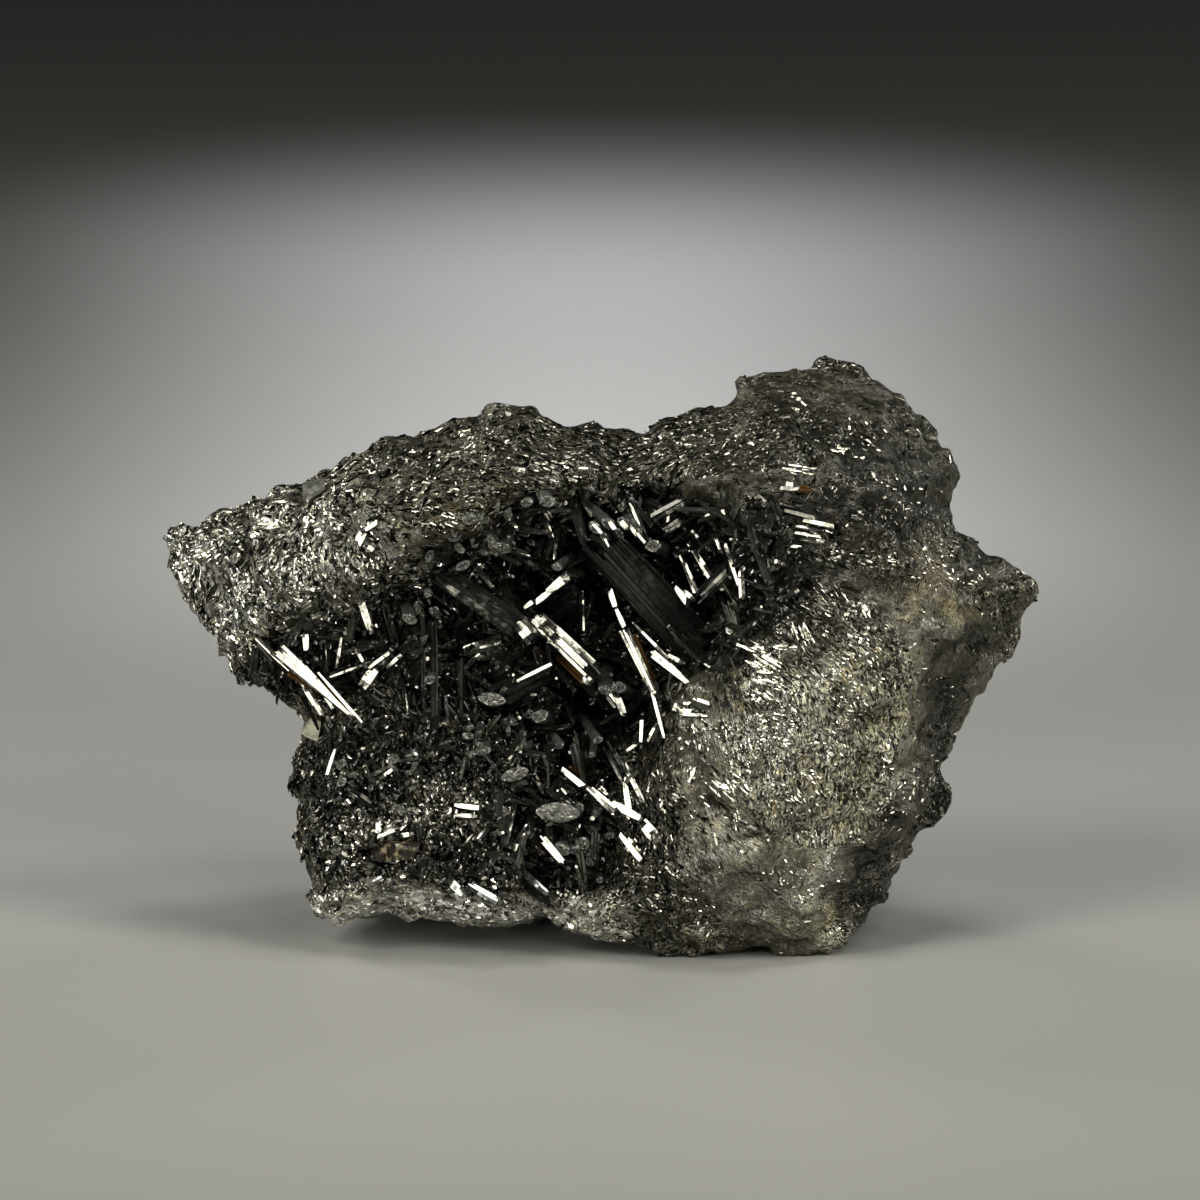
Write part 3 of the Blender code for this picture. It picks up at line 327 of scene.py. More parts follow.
# Sheaves of bright needles on the stone: x, h, half width, half height, direction and its spread in degrees,
# length, width, number, softboxes that they mirror.
SHEAVES = (
    # the hollow's right lip
    (14.8, 31, 1.2, 0.5, -22, 6, 1.8, 0.26, 18, (KEY,)),
    (16.2, 29.7, 1.1, 1, -28, 8, 1.7, 0.26, 28, (KEY, SIDE)),
    (16.6, 27.7, 0.9, 1, -10, 12, 1.5, 0.25, 24, (SIDE, KEY)),
    (16.3, 26, 1.2, 0.7, -38, 12, 1.3, 0.23, 28, (KEY,)),
    (15.6, 26, 0.5, 0.4, 0, 90, 0.45, 0.3, 8, (FRONT, KEY)),
    (18.5, 30.9, 1.3, 0.4, -15, 20, 0.9, 0.22, 14, (KEY, FRONT)),
    (19.8, 32.5, 1, 1.2, -65, 8, 1.8, 0.24, 16, (SIDE, KEY)),
    (15.2, 36.7, 0.7, 1.1, 0, 90, 0.4, 0.28, 18, (KEY, FRONT)),
    (19, 39.7, 1.2, 1, 0, 90, 0.5, 0.24, 18, (KEY, LEFT)),
    (23, 36.7, 1.4, 1.4, -50, 4, 2.4, 0.13, 12, (SIDE, TOP)),
    (24.2, 40.2, 2, 0.8, -10, 30, 0.45, 0.2, 24, (KEY, SIDE)),
    (21.1, 42.6, 1.4, 0.8, -15, 8, 1, 0.2, 14, (KEY, TOP)),
    (26.6, 34.3, 0.3, 0.7, -65, 10, 0.9, 0.3, 5, (KEY,)),
    (19, 36.7, 1.6, 1.6, -60, 30, 0.6, 0.22, 22, (KEY, LEFT)),
    (16.2, 33.5, 0.6, 1, -70, 15, 0.7, 0.24, 9, (KEY, LEFT)),
    (22, 33.2, 1.4, 1.2, -45, 35, 0.5, 0.2, 20, (KEY, LEFT)),
    (17.8, 42.9, 1, 0.8, -20, 20, 0.5, 0.24, 14, (KEY, TOP)),
    # the pale stone right of it
    (17.5, 23.2, 2.2, 2.6, -30, 50, 0.42, 0.28, 110, (KEY, FRONT, SIDE)),
    (23, 21.7, 2, 2, -40, 40, 0.4, 0.22, 40, (KEY, SIDE)),
    (25, 25.7, 2, 2.2, -40, 40, 0.4, 0.2, 40, (KEY, SIDE)),
    (20, 16.7, 3, 2.4, -35, 30, 0.4, 0.22, 50, (KEY, SIDE)),
    (14, 19.7, 1.6, 2, -50, 30, 0.5, 0.23, 36, (KEY, SIDE)),
    (26, 30.7, 2.4, 1.8, -50, 30, 0.5, 0.22, 34, (KEY, FRONT)),
    (11.5, 16.2, 1.4, 1.4, -38, 10, 1.2, 0.2, 16, (KEY,)),
    (13.7, 17.1, 1.2, 1, -50, 12, 0.9, 0.25, 13, (KEY,)),
    (13.5, 14.2, 0.6, 0.9, -75, 8, 1.2, 0.2, 6, (KEY,)),
    (9, 18.7, 0.4, 0.6, 75, 8, 0.9, 0.3, 4, (KEY,)),
    (6, 18.2, 0.9, 0.8, -70, 15, 0.8, 0.2, 9, (KEY, SIDE)),
    (5, 8.9, 3, 0.9, -28, 18, 0.7, 0.22, 30, (KEY, SIDE)),
    (9, 5.7, 4, 1.6, -30, 30, 0.45, 0.2, 36, (KEY, SIDE)),
    (20, 7.7, 4, 2.4, -40, 40, 0.4, 0.22, 44, (KEY, SIDE)),
    (30, 15.7, 2.6, 4, 60, 40, 0.45, 0.22, 36, (KEY, SIDE)),
    (10, 22.2, 2, 1.4, -60, 40, 0.45, 0.24, 26, (KEY, FRONT)),
    # the chain of blades under the hollow
    (0.2, 16, 0.8, 0.7, -42, 8, 1.1, 0.35, 6, (KEY,)),
    (4.6, 12.9, 0.5, 0.5, -50, 10, 0.9, 0.45, 4, (KEY,)),
    (3, 11.1, 1, 0.8, -42, 12, 0.9, 0.28, 10, (KEY,)),
    (1.8, 13.7, 1.2, 1, -40, 20, 0.6, 0.24, 14, (KEY, LEFT)),
    (9, 25.1, 1.4, 0.6, -10, 60, 0.6, 0.45, 12, (FRONT, KEY)),
    # the left wing
    (-32.9, 43.4, 1.2, 0.6, -8, 14, 1, 0.34, 16, (KEY, FRONT)),
    (-32.5, 39.7, 2, 1.4, 55, 30, 0.8, 0.22, 44, (KEY, FRONT, LEFT)),
    (-39.5, 40.5, 1.4, 0.8, 30, 15, 1, 0.2, 20, (KEY, LEFT)),
    (-29, 39.5, 1.4, 1.2, -45, 40, 0.7, 0.25, 44, (KEY, FRONT)),
    (-43, 42, 0.8, 0.6, 0, 90, 0.6, 0.5, 12, (FRONT, LEFT)),
    (-36, 36.7, 1.4, 1.4, 0, 90, 0.5, 0.25, 26, (KEY, LEFT)),
    (-37.5, 34.2, 1.2, 1.6, 0, 90, 0.5, 0.24, 22, (KEY, LEFT)),
    (-41, 37.7, 1, 1.2, 60, 25, 0.7, 0.25, 22, (KEY, LEFT)),
    (-27, 43.7, 2, 1.4, -30, 50, 0.6, 0.24, 36, (KEY, LEFT)),
    (-26.8, 46.6, 0.5, 0.5, 80, 10, 0.7, 0.4, 3, (KEY,)),
    (-27, 34.7, 1, 2, 60, 30, 0.5, 0.22, 16, (KEY, LEFT)),
    (-37.2, 41.7, 1.4, 1, 20, 40, 0.6, 0.22, 20, (KEY, LEFT)),
    # the bottom
    (-12.8, 7.3, 2.6, 1.2, -35, 25, 0.8, 0.32, 44, (LEFT, KEY)),
    (-20.5, 6.5, 0.6, 0.3, 0, 10, 0.6, 0.3, 4, (TOP,)),
    (-26, 10.7, 2.2, 2.8, 0, 90, 0.5, 0.3, 40, (LEFT, KEY)),
    (-25, 17.7, 2.4, 2.4, 0, 90, 0.5, 0.3, 40, (LEFT, KEY)),
    (-17, 4.9, 11, 0.7, 0, 60, 0.4, 0.24, 110, (KEY, LEFT, FRONT)),
    (-20.6, 12.6, 2.2, 0.5, 25, 20, 0.7, 0.3, 20, (KEY,)),
    (-20.6, 9.8, 2.2, 0.3, 0, 20, 0.5, 0.25, 14, (KEY,)),
    (-16, 17.7, 3, 2, 0, 90, 0.4, 0.24, 24, (KEY, LEFT)),
    (-27.5, 5.7, 1.2, 1.4, 0, 70, 0.5, 0.32, 20, (LEFT, KEY)),
    # the upper band
    (19.5, 55.7, 0.9, 1.1, -25, 20, 0.6, 0.28, 9, (KEY,)),
    (23.5, 50.7, 1.6, 0.6, -12, 12, 0.9, 0.26, 10, (KEY, LEFT)),
    (20, 48.7, 1.8, 0.5, -12, 8, 1.1, 0.2, 8, (KEY,)),
    (-4, 48.7, 4.4, 1.2, -15, 14, 0.8, 0.24, 26, (KEY, FRONT)),
    (-2.5, 47.9, 0.8, 0.3, -20, 6, 1.3, 0.36, 2, (KEY,)),
    (-20, 48.7, 4.4, 2.4, 0, 90, 0.36, 0.24, 60, (KEY, LEFT)),
    (-12, 50.7, 4, 2.4, 0, 90, 0.36, 0.22, 46, (KEY, FRONT)),
    (10, 51.7, 6, 2, -10, 40, 0.4, 0.22, 44, (KEY, FRONT)),
    (26, 51.7, 3, 2.4, -20, 50, 0.36, 0.22, 30, (KEY,)),
    (30, 45.7, 3, 2.6, -40, 40, 0.4, 0.22, 34, (KEY, SIDE)),
    (35, 38.7, 4, 2.4, -30, 50, 0.4, 0.22, 44, (KEY, SIDE)),
    (28, 39.7, 2, 1, -15, 30, 0.5, 0.22, 26, (KEY,)),
    (-16, 43.7, 3, 1.4, -14, 14, 0.8, 0.18, 22, (KEY, TOP)),
    (-8, 45.2, 2, 0.8, -20, 40, 0.4, 0.24, 16, (KEY,)),
)
# Ends of lens-shaped crystals that point at the viewer: x, h, y, width, height, turn in degrees.
LENS_ENDS = (
    (-0.5, 42.9, -15, 1.5, 1, -42),
    (0.9, 43.3, -15.1, 1.7, 1.1, -30),
    (2.4, 43.4, -15.1, 1.6, 1, -35),
    (3.7, 42.4, -14.9, 1.3, 0.9, -48),
    (0.4, 42, -14.8, 1.3, 0.7, -60),
    (1.9, 42.4, -14.9, 1.4, 0.7, -50),
    (-8.5, 18.3, -16.4, 2.9, 1.3, 18),
    (-4.2, 14.5, -17.4, 4.5, 2, -3),
    (-9.9, 14.4, -16.8, 2.1, 1.4, 12),
    (-10.8, 25.8, -14.8, 2.8, 1.3, -8),
    (-6, 24.1, -12.6, 1.8, 1.2, 30),
    (5.3, 41.1, -14.6, 1.6, 1.2, 10),
    (-19, 33.8, -14.8, 1.6, 1, -25),
    (-3.9, 10.8, -17.2, 1.4, 1.9, 70),
    (-1.7, 11.4, -17, 1.2, 1.4, 50),
    (-11.4, 41.2, -14, 2.2, 2.6, 60),
    (-5.2, 45.5, -15, 1.7, 1.2, -10),
    (-7.3, 45.4, -15.2, 1.3, 0.9, 5),
    (-13, 43.7, -15.8, 1.4, 1.1, 20),
    (-9.7, 40.9, -13.6, 1.2, 1.8, 80),
    (-13.7, 39.1, -15, 1.6, 0.9, 30),
    (-14.5, 42, -16, 1.5, 1, 10),
    (1.9, 27, -13.6, 1.1, 1.5, 75),
    (0.6, 26.7, -13.4, 1, 1.6, 85),
    (-0.2, 21.7, -15, 1, 0.8, 20),
    (-0.8, 20.2, -15.2, 0.8, 0.6, 30),
    (-2.5, 10.7, -17, 1, 0.9, 0),
    (1, 12.2, -17, 0.9, 0.7, 30),
    (-4, 21.2, -14.8, 0.9, 0.8, 40),
    (2, 39.7, -12, 1, 1.4, 70),
    (2.7, 37.7, -12.4, 0.9, 1.2, 80),
    (-4.3, 39, -13.4, 0.8, 1.1, 80),
    (-11.6, 20.6, -15.2, 1.6, 0.9, 10),
    (-17, 27.7, -15, 1.2, 0.9, 30),
    (16.6, 44.1, -17.6, 0.9, 0.7, 10),
    (17.5, 43.8, -17.4, 0.8, 0.6, 0),
    (15.7, 42.9, -17.2, 0.7, 0.9, 80),
    (-1, 9.5, -17.4, 0.8, 0.9, 60),
    (0, 7.7, -17.6, 0.8, 0.6, 10),
    (-21.9, 29.5, -14.2, 0.9, 0.7, 0),
)


def seen(x, h, y):
    """The point of space that is seen at (x, h) and lies y deep."""
    return Vector((x, y, (h - (y - FOOT_Y) * math.sin(SIGHT_DOWN)) / math.cos(SIGHT_DOWN)))


def places(points):
    """Where points of space are seen: x and h."""
    x, y, z = points.T
    return x, z * math.cos(SIGHT_DOWN) + (y - FOOT_Y) * math.sin(SIGHT_DOWN)


def kept_inside(points):
    """Points moved, if they have to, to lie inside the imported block's box."""
    return np.clip(points, lowest + INSET, highest - INSET)


def unit(v):
    """Rows scaled to length 1."""
    return v / np.maximum(np.linalg.norm(v, axis=1, keepdims=True), 1e-9)


def swirl(points, size):
    """Three smooth random numbers at each point, which change over about this many millimetres."""
    return np.array([noise.noise_vector(Vector(p) / size)[:] for p in points])


def wandered(points, size):
    """Where points are seen, each moved a little at random, which gives patches ragged edges."""
    x, h = places(points)
    shift = WANDER * swirl(points, size)
    return x + shift[:, 0], h + shift[:, 1]


def cover(x, h, patch, fade):
    """How much of a patch is at each place. It is an ellipse: x, h, half its width and half its height."""
    mid_x, mid_h, half_width, half_height = patch
    out = np.sqrt(((x - mid_x) / half_width) ** 2 + ((h - mid_h) / half_height) ** 2)
    return np.clip(fade[0] - fade[1] * out, 0, 1)


def struck(surface, x, h):
    """The first point of a surface that is seen at (x, h), or None."""
    return surface.ray_cast(seen(x, h, IN_FRONT_Y), SIGHT)[0]


def random_vector(draw, *limits):
    """A vector whose three parts are drawn alike."""
    return Vector([draw(*limits) for _ in range(3)])


# ---- Meshes ----
def ring_pairs(count):
    """Each place around a ring with the one after it."""
    return [(k, (k + 1) % count) for k in range(count)]


def corners_of(vertices):
    """The places of vertices as rows."""
    return np.array([v.co[:] for v in vertices])


def indices(parts):
    """The vertices of each edge or face, by number."""
    return np.array([[v.index for v in part.verts] for part in parts])


def welded(node):
    """A CAD node's mesh in millimetres, its corners joined."""
    bm = bmesh.new()
    bm.from_mesh(node.data)
    bmesh.ops.scale(bm, vec=(1 / MM,) * 3, verts=bm.verts)
    bmesh.ops.remove_doubles(bm, verts=bm.verts, dist=0.001)
    bmesh.ops.triangulate(bm, faces=bm.faces)
    return bm


class Heap:
    """Many small solids that become one mesh. Each has one tint, which its points carry."""

    def __init__(self):
        self.points, self.faces, self.tints, self.total = [], [], [], 0

    def add(self, points, faces, tint):
        """One solid: its points, and faces as lists of indices into them."""
        self.points.append(np.array([p[:] for p in points], float))
        self.faces.extend([[i + self.total for i in face] for face in faces])
        self.tints.append(np.tile(np.array(tint, float), (len(points), 1)))
        self.total += len(points)

    def add_copies(self, points, faces, tints):
        """Copies of one solid: points is copies x corners x 3."""
        copies, corners, _ = points.shape
        starts = self.total + corners * np.arange(copies)
        for face in faces:
            self.faces.extend((starts[:, None] + np.array(face)[None]).tolist())
        self.points.append(points.reshape(-1, 3))
        self.tints.append(np.repeat(tints, corners, axis=0))
        self.total += copies * corners

    def piece(self, name, material):
        """The heap as a piece of the scene."""
        mesh = bpy.data.meshes.new(name)
        mesh.from_pydata((np.vstack(self.points) * MM).tolist(), [], self.faces)
        paint(mesh, np.vstack(self.tints))
        return piece_of(name, mesh, material)


def keep(mesh, name, kind, field, values):
    """Keeps a value for each point of a mesh, for its material to read."""
    mesh.attributes.new(name, kind, "POINT").data.foreach_set(field, values.astype(np.float32).ravel())


def paint(mesh, tints):
    """Keeps a colour for each point of a mesh."""
    keep(mesh, "tint", "FLOAT_COLOR", "color", np.hstack([tints, np.ones((len(tints), 1))]))


def in_scene(name, data):
    """A new object of the scene."""
    made = bpy.data.objects.new(name, data)
    bpy.context.scene.collection.objects.link(made)
    return made


def piece_of(name, mesh, material):
    """A mesh as a piece of the scene."""
    mesh.materials.append(material)
    return in_scene(name, mesh)


# ---- Materials ----
class Nodes:
    """Short ways to build a material's node tree."""

    def __init__(self, name):
        self.material = bpy.data.materials.new(name)
        self.material.use_nodes = True
        self.tree = self.material.node_tree
        self.surface(IOR=MANGANITE_IOR, Specular_Tint=GLOSS_TINT)

    def surface(self, **values):
        """Sets or links the shader's sockets. An underscore stands for a space in a socket's name."""
        shader = self.tree.nodes["Principled BSDF"]
        for socket, value in values.items():
            self.plug(shader.inputs[socket.replace("_", " ")], value)

    def plug(self, socket, value):
        """Links a socket to another node's output, or sets it to a plain value."""
        if isinstance(value, bpy.types.NodeSocket):
            self.tree.links.new(value, socket)
        else:
            socket.default_value = value

    def add(self, kind, output, inputs=(), **settings):
        """A new node's output. The inputs are pairs of a socket's name or number and what it gets."""
        made = self.tree.nodes.new("ShaderNode" + kind)
        for key, value in settings.items():
            setattr(made, key, value)
        for socket, value in dict(inputs).items():
            self.plug(made.inputs[socket], value)
        return made.outputs[output]

    def math(self, operation, *values):
        return self.add("Math", 0, enumerate(values), operation=operation)

    def vector(self, operation, *values):
        return self.add("VectorMath", 0, enumerate(values), operation=operation)

    def line(self, value, slope, start):
        """A value times a slope, added to a start."""
        return self.math("MULTIPLY_ADD", value, slope, start)

    def scaled(self, vector, factor):
        return self.add("VectorMath", 0, {0: vector, "Scale": factor}, operation="SCALE")

    def mix(self, factor, a, b):
        """A colour between two."""
        return self.add("Mix", 2, {0: factor, 6: a, 7: b}, data_type="RGBA")

    def blend(self, factor, a, b):
        """A vector between two."""
        return self.add("Mix", 1, {0: factor, 4: a, 5: b}, data_type="VECTOR")

    def ramp(self, value, low, high):
        """0 up to low, 1 from high on."""
        return self.add("MapRange", 0, {"Value": value, "From Min": low, "From Max": high})

    def part(self, vector, number):
        return self.add("SeparateXYZ", number, {0: vector})

    def attribute(self, name, output="Fac"):
        """What the points of the mesh carry under this name."""
        return self.add("Attribute", output, attribute_name=name)

    def place(self):
        return self.add("TexCoord", "Object")

    def noise(self, size, detail):
        """Clouds of about this size."""
        inputs = {"Vector": self.place(), "Scale": 1 / (size * MM), "Detail": detail}
        return self.add("TexNoise", "Fac", inputs)

    def cells(self, size, place=None):
        """A random colour for each small cell."""
        return self.add("TexVoronoi", "Color", {"Vector": place or self.place(), "Scale": 1 / (size * MM)})

    def centred(self, colour):
        """A random colour as a vector about 0."""
        return self.vector("SUBTRACT", colour, (0.5, 0.5, 0.5))

    def wobble(self, size):
        inputs = {"Vector": self.place(), "Scale": 1.6 / (size * MM)}
        return self.centred(self.add("TexNoise", "Color", inputs))

    def leaning(self, normal, *leans):
        """A normal that leans at random: each lean is a random colour and how far it leans."""
        for colour, tilt in leans:
            normal = self.vector("ADD", normal, self.scaled(self.centred(colour), tilt))
        return self.vector("NORMALIZE", normal)

    def glinting(self, size, tilt):
        """A normal that leans at random from one small grain to the next."""
        return self.leaning(self.add("NewGeometry", "Normal"), (self.cells(size), tilt))

    def lie(self, size):
        """Places and turns of sheaves of this size, whose needles lie alike."""
        place = self.vector("ADD", self.place(), self.scaled(self.wobble(size), 0.6 * size * MM))
        cell = self.cells(size, place)
        own = self.line(self.part(cell, 0), 1.2, -0.6)
        combed = self.add("CombineXYZ", 0, {"Y": self.math("ADD", self.attribute("way"), own)})
        turn = self.blend(self.attribute("combed"), self.scaled(cell, ANY_TURN), combed)
        spun = self.add("VectorRotate", 0, {"Vector": place, "Rotation": turn}, rotation_type="EULER_XYZ")
        return self.vector("ADD", spun, cell)

    def needles(self, lie, along, across):
        """Random colours of needles, so long and so wide, that lie in sheaves."""
        stretch = (1 / (along * MM), 1 / (across * MM), 1 / (across * MM))
        bent = self.vector("ADD", lie, self.scaled(self.wobble(1.5 * along), 0.9 * across * MM))
        return self.add("TexVoronoi", "Color", {"Vector": self.vector("MULTIPLY", bent, stretch), "Scale": 1})


def massive_material():
    """The broken stone: sheaves of fine needles, each with its own lie, some glossy and some dull."""
    n = Nodes("massive_manganite")
    needles = n.needles(n.lie(NEEDLE_SHEAF), *NEEDLE)
    chance = n.part(needles, 2)
    patchy = n.line(n.noise(2.4, 2), 1.6, -0.8)
    share = n.math("ADD", n.attribute("gloss"), patchy)
    glossy = n.ramp(n.math("SUBTRACT", share, chance), -0.06, 0.06)

    # The dull needles: dark pits, rusty spots, and a shade of each one's own.
    dark = n.mix(n.ramp(n.noise(0.5, 4), 0.35, 0.65), PIT_SHADE, BARE_SHADE)
    rusty = n.mix(n.ramp(n.noise(1.7, 3), 0.55, 0.75), (1, 1, 1, 1), RUST_SHADE)
    colour = n.vector("MULTIPLY", n.vector("MULTIPLY", n.attribute("tint", "Color"), dark), rusty)
    own = n.math("FRACT", n.math("MULTIPLY", chance, 7))
    colour = n.scaled(colour, n.line(own, 1.3, 0.35))

    # The glossy ones: brighter where the stone is lighter.
    local = n.line(n.part(n.attribute("tint", "Vector"), 1), LOCAL_SHINE, LEAST_SHINE)
    shine = n.scaled(n.scaled(GLINT, local), n.math("POWER", 2, n.line(own, 6, -4.8)))

    dull = n.math("SUBTRACT", 1, glossy)
    pits = {"Height": n.noise(0.35, 2), "Distance": 0.2 * MM, "Strength": dull}
    lumps = {"Height": n.noise(0.8, 1), "Distance": 0.25 * MM, "Normal": n.add("Bump", "Normal", pits)}
    tilt = n.line(n.attribute("combed"), -0.3, 0.95)
    n.surface(
        IOR=1.5,
        Specular_IOR_Level=0.2,
        Metallic=glossy,
        Roughness=n.line(glossy, -0.35, 0.65),
        Base_Color=n.mix(glossy, colour, shine),
        Normal=n.leaning(n.add("Bump", "Normal", lumps), (needles, tilt), (n.cells(0.9), 0.35)),
    )
    return n.material


def grain_material(name):
    """The small grains and blades on the stone."""
    n = Nodes(name)
    rough = n.ramp(n.noise(1.1, 3), 0.35, 0.7)
    n.surface(
        Metallic=1,
        Base_Color=n.attribute("tint", "Color"),
        Roughness=n.line(rough, 0.15, 0.13),
        Normal=n.glinting(0.32, 0.2),
    )
    return n.material


def crystal_material(name, ior=MANGANITE_IOR):
    """Glossy crystals with a few dull spots. A low IOR makes a duller copy for the black ones: painted shade.
    """
    n = Nodes(name)
    dull = n.ramp(n.noise(0.7, 4), 0.5, 0.8)
    n.surface(
        IOR=ior,
        Base_Color=n.attribute("tint", "Color"),
        Roughness=n.line(dull, 0.25, 0.12),
        Normal=n.glinting(0.5, 0.05),
    )
    return n.material


def end_material():
    """The pitted ends of the lens-shaped crystals."""
    n = Nodes("pitted_ends")
    n.surface(Base_Color=(0.06, 0.063, 0.062, 1), Roughness=0.3, Normal=n.glinting(0.24, 0.9))
    return n.material


def gangue_material(name, deep, light, roughness, glow, cloudy):
    """A pale grain of another mineral: cloudy, a little see-through, with small flaws."""
    n = Nodes(name)
    n.surface(
        IOR=1.55,
        Base_Color=n.mix(n.ramp(n.noise(0.6, 4), *cloudy), deep, light),
        Roughness=roughness,
        Subsurface_Weight=glow,
        Subsurface_Radius=GLOW_REACH,
        Normal=n.glinting(0.6, 0.5),
    )
    return n.material


# ---- The skin ----
def even_skin():
    """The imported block's surface as an even net of small triangles, in millimetres."""
    source = in_scene("skin_source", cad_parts["matrix"].data.copy())
    source.data.transform(Matrix.Scale(1 / MM, 4))
    remesh = source.modifiers.new("even", "REMESH")
    remesh.mode = "VOXEL"
    remesh.voxel_size = SKIN_VOXEL
    made = source.evaluated_get(bpy.context.evaluated_depsgraph_get()).data
    points = corners_of(made.vertices)
    # The remesher's own order of points and faces changes from run to run.
    order = np.lexsort(np.round(points, 4).T)
    number = np.empty(len(order), int)
    number[order] = np.arange(len(order))
    faces = [number[list(p.vertices)] for p in made.polygons]
    faces = sorted(tuple(np.roll(face, -face.argmin()).tolist()) for face in faces)
    mesh = bpy.data.meshes.new("even")
    mesh.from_pydata(points[order].tolist(), [], faces)
    bm = bmesh.new()
    bm.from_mesh(mesh)
    bmesh.ops.triangulate(bm, faces=bm.faces)
    bpy.data.objects.remove(source)
    bpy.data.meshes.remove(mesh)
    return bm


def lumpy(point):
    """How far the broken surface stands out at a point."""
    height = LUMP[0] * noise.fractal(point / LUMP[1], 1.0, 2.0, 2) + GRIT[0] * noise.noise(point / GRIT[1])
    for slope, size in PLATES:
        place = point / size + 0.35 * noise.noise_vector(point / size * 1.7)
        _, middles = noise.voronoi(place)
        lean = noise.cell_vector(middles[0] * 97.0) * 2 - Vector((1, 1, 1))
        height += slope * size * (place - middles[0]).dot(lean)
    return height


# The stone from place to place: x, h, half width, half height, colour, how rough, share of glossy needles.
# Later ones lie over earlier ones.
PARTS = (
    (-31, 37, 15, 10, (0.8, 0.8, 0.7), 1, 1),  # left wing
    (-43, 40.5, 3, 4.5, (1.3, 1.3, 1.15), 1, 1),  # left tip
    (-36, 40, 2.2, 1.6, (0.3, 0.17, 0.09), 1.2, 0.6),  # left wing's rusty spot
    (-14, 44, 10, 4.5, (0.12, 0.105, 0.07), 0.45, 0.2),  # brown shoulder
    # The top band and the peak: a dark olive-brown of their own, made darker still as painted shade on the
    # upward-facing stone.
    (12, 53, 22, 6, (0.05, 0.048, 0.035), 0.55, 0.42),  # top band
    (26, 52, 10, 8, (0.042, 0.041, 0.029), 0.55, 0.42),  # peak
    (22, 22, 17, 20, (0.33, 0.322, 0.238), 0.75, 0.4),  # right wall
    (32, 36, 10, 7, (0.145, 0.139, 0.098), 0.8, 0.6),  # right shoulder
    (27, 46.6, 13, 7.5, (0.006, 0.006, 0.005), 0.8, 0.35),  # dark shoulder
    (20, 36.5, 7, 6, (0.05, 0.05, 0.044), 1, 0.8),  # lip
    (38.5, 40, 4, 2.5, (0.012, 0.012, 0.009), 0.8, 0.4),  # shoulder's dark edge
    (38, 31, 4, 2.5, (0.012, 0.012, 0.01), 0.8, 0.5),  # tip's dark underside
    (32.5, 38, 3.5, 4, (0.22, 0.188, 0.125), 0.5, 0.3),  # golden patch
    (36.5, 35, 2.5, 1.6, (0.22, 0.2, 0.13), 0.3, 0.1),  # dull patch
    (18, 24, 6, 7, (0.62, 0.61, 0.48), 0.6, 0.6),  # pale patch
    (23.5, 5.5, 4, 4, (0.6, 0.58, 0.42), 0.6, 0.6),  # pale foot
    (-20, 13, 11, 9, (0.21, 0.203, 0.15), 1.2, 0.7),  # lower left
    # Painted light: the bottom ledge faces down and gets little light, so its colour is raised far above
    # white, which also strengthens its glints.
    (-16, 3.8, 16, 4, (2.8, 2.8, 2.5), 1, 0.85),  # bottom ledge
    (35.2, 22, 5, 9, (0.002, 0.002, 0.0018), 1.2, 0.6),  # bevel below the tip
    (33.4, 14.5, 6, 6, (0.002, 0.002, 0.0018), 1.2, 0.6),  # bevel's middle
    (31.2, 9.5, 6, 5.5, (0.003, 0.003, 0.0025), 1.2, 0.65),  # bevel's lower part
    (27.8, 5, 4.4, 6, (0.005, 0.005, 0.0045), 1, 0.5),  # bevel's foot
)
BASE_LOOKS = (0.1, 0.097, 0.07, 1.0, 0.5)  # elsewhere: colour, how rough, share of glossy needles
HOLLOW_TINT = (0.002, 0.002, 0.002)
WANDER = 2.0  # how far the edges of patches wander
PART_WANDER, DARK_WANDER = 6.0, 3.5  # over what length they do
# How patches fade: the first number less the second times the distance from the middle, 1 being the rim.
PART_FADE, DARK_FADE = (1.6, 1.3), (4.5, 4.0)
HABIT_FADE, COMB_FADE = (1.8, 1.4), (2.2, 2.0)
# Broad changes: their size, and how far they change the colour, in powers of two, and the share of glossy
# needles, which is also higher by the last number all over.
BROAD_SIZE, BROAD_TINT, BROAD_GLOSS, MORE_GLOSS = 5.0, 1.5, 0.35, 0.2


def tint_of(points, in_hollow):
    """The stone's colour at each point, how rough it is, and how much of it is glossy."""
    x, h = wandered(points, PART_WANDER)
    looks = np.tile(np.array(BASE_LOOKS), (len(points), 1))
    for *patch, tint, roughness, glossy in PARTS:
        share = cover(x, h, patch, PART_FADE)[:, None]
        looks = looks * (1 - share) + np.array((*tint, roughness, glossy)) * share
    broad = swirl(points, BROAD_SIZE)[:, 2]
    colour = looks[:, :3] * (2.0 ** (BROAD_TINT * broad))[:, None]
    share = in_hollow[:, None]
    gloss = looks[:, 4] + BROAD_GLOSS * broad + MORE_GLOSS
    return colour * (1 - share) + np.array(HOLLOW_TINT) * share, looks[:, 3], gloss


DARK_BACK_Y = 2.0  # no black crystals grow further back
# Where the stone is covered by black crystals: x, h, half width, half height, how much of it.
DARK_PARTS = (
    (2, 36.9, 17.8, 9.6, 1),
    (-4, 27.7, 11, 8.4, 1),
    (-16, 29.9, 10, 7, 1),
    (-25.6, 29.9, 4.8, 4, 1),
    (-5, 15.7, 6.2, 9.4, 0.95),
    (-33.2, 28.6, 3, 3.2, 0.9),
    (-28, 14.5, 3.5, 8, 0.6),
    (-20, 19.5, 9, 3.5, 0.6),
    (-14, 8.8, 9, 3, 0.6),
    (16, 42.6, 6, 3.4, 0.8),
)


def hollow_share(points):
    """1 where black crystals cover the stone, 0 well away from them."""
    x, h = wandered(points, DARK_WANDER)
    share = np.zeros(len(points))
    for *patch, most in DARK_PARTS:
        share = np.maximum(share, most * cover(x, h, patch, DARK_FADE))
    return share * (points[:, 1] < DARK_BACK_Y)


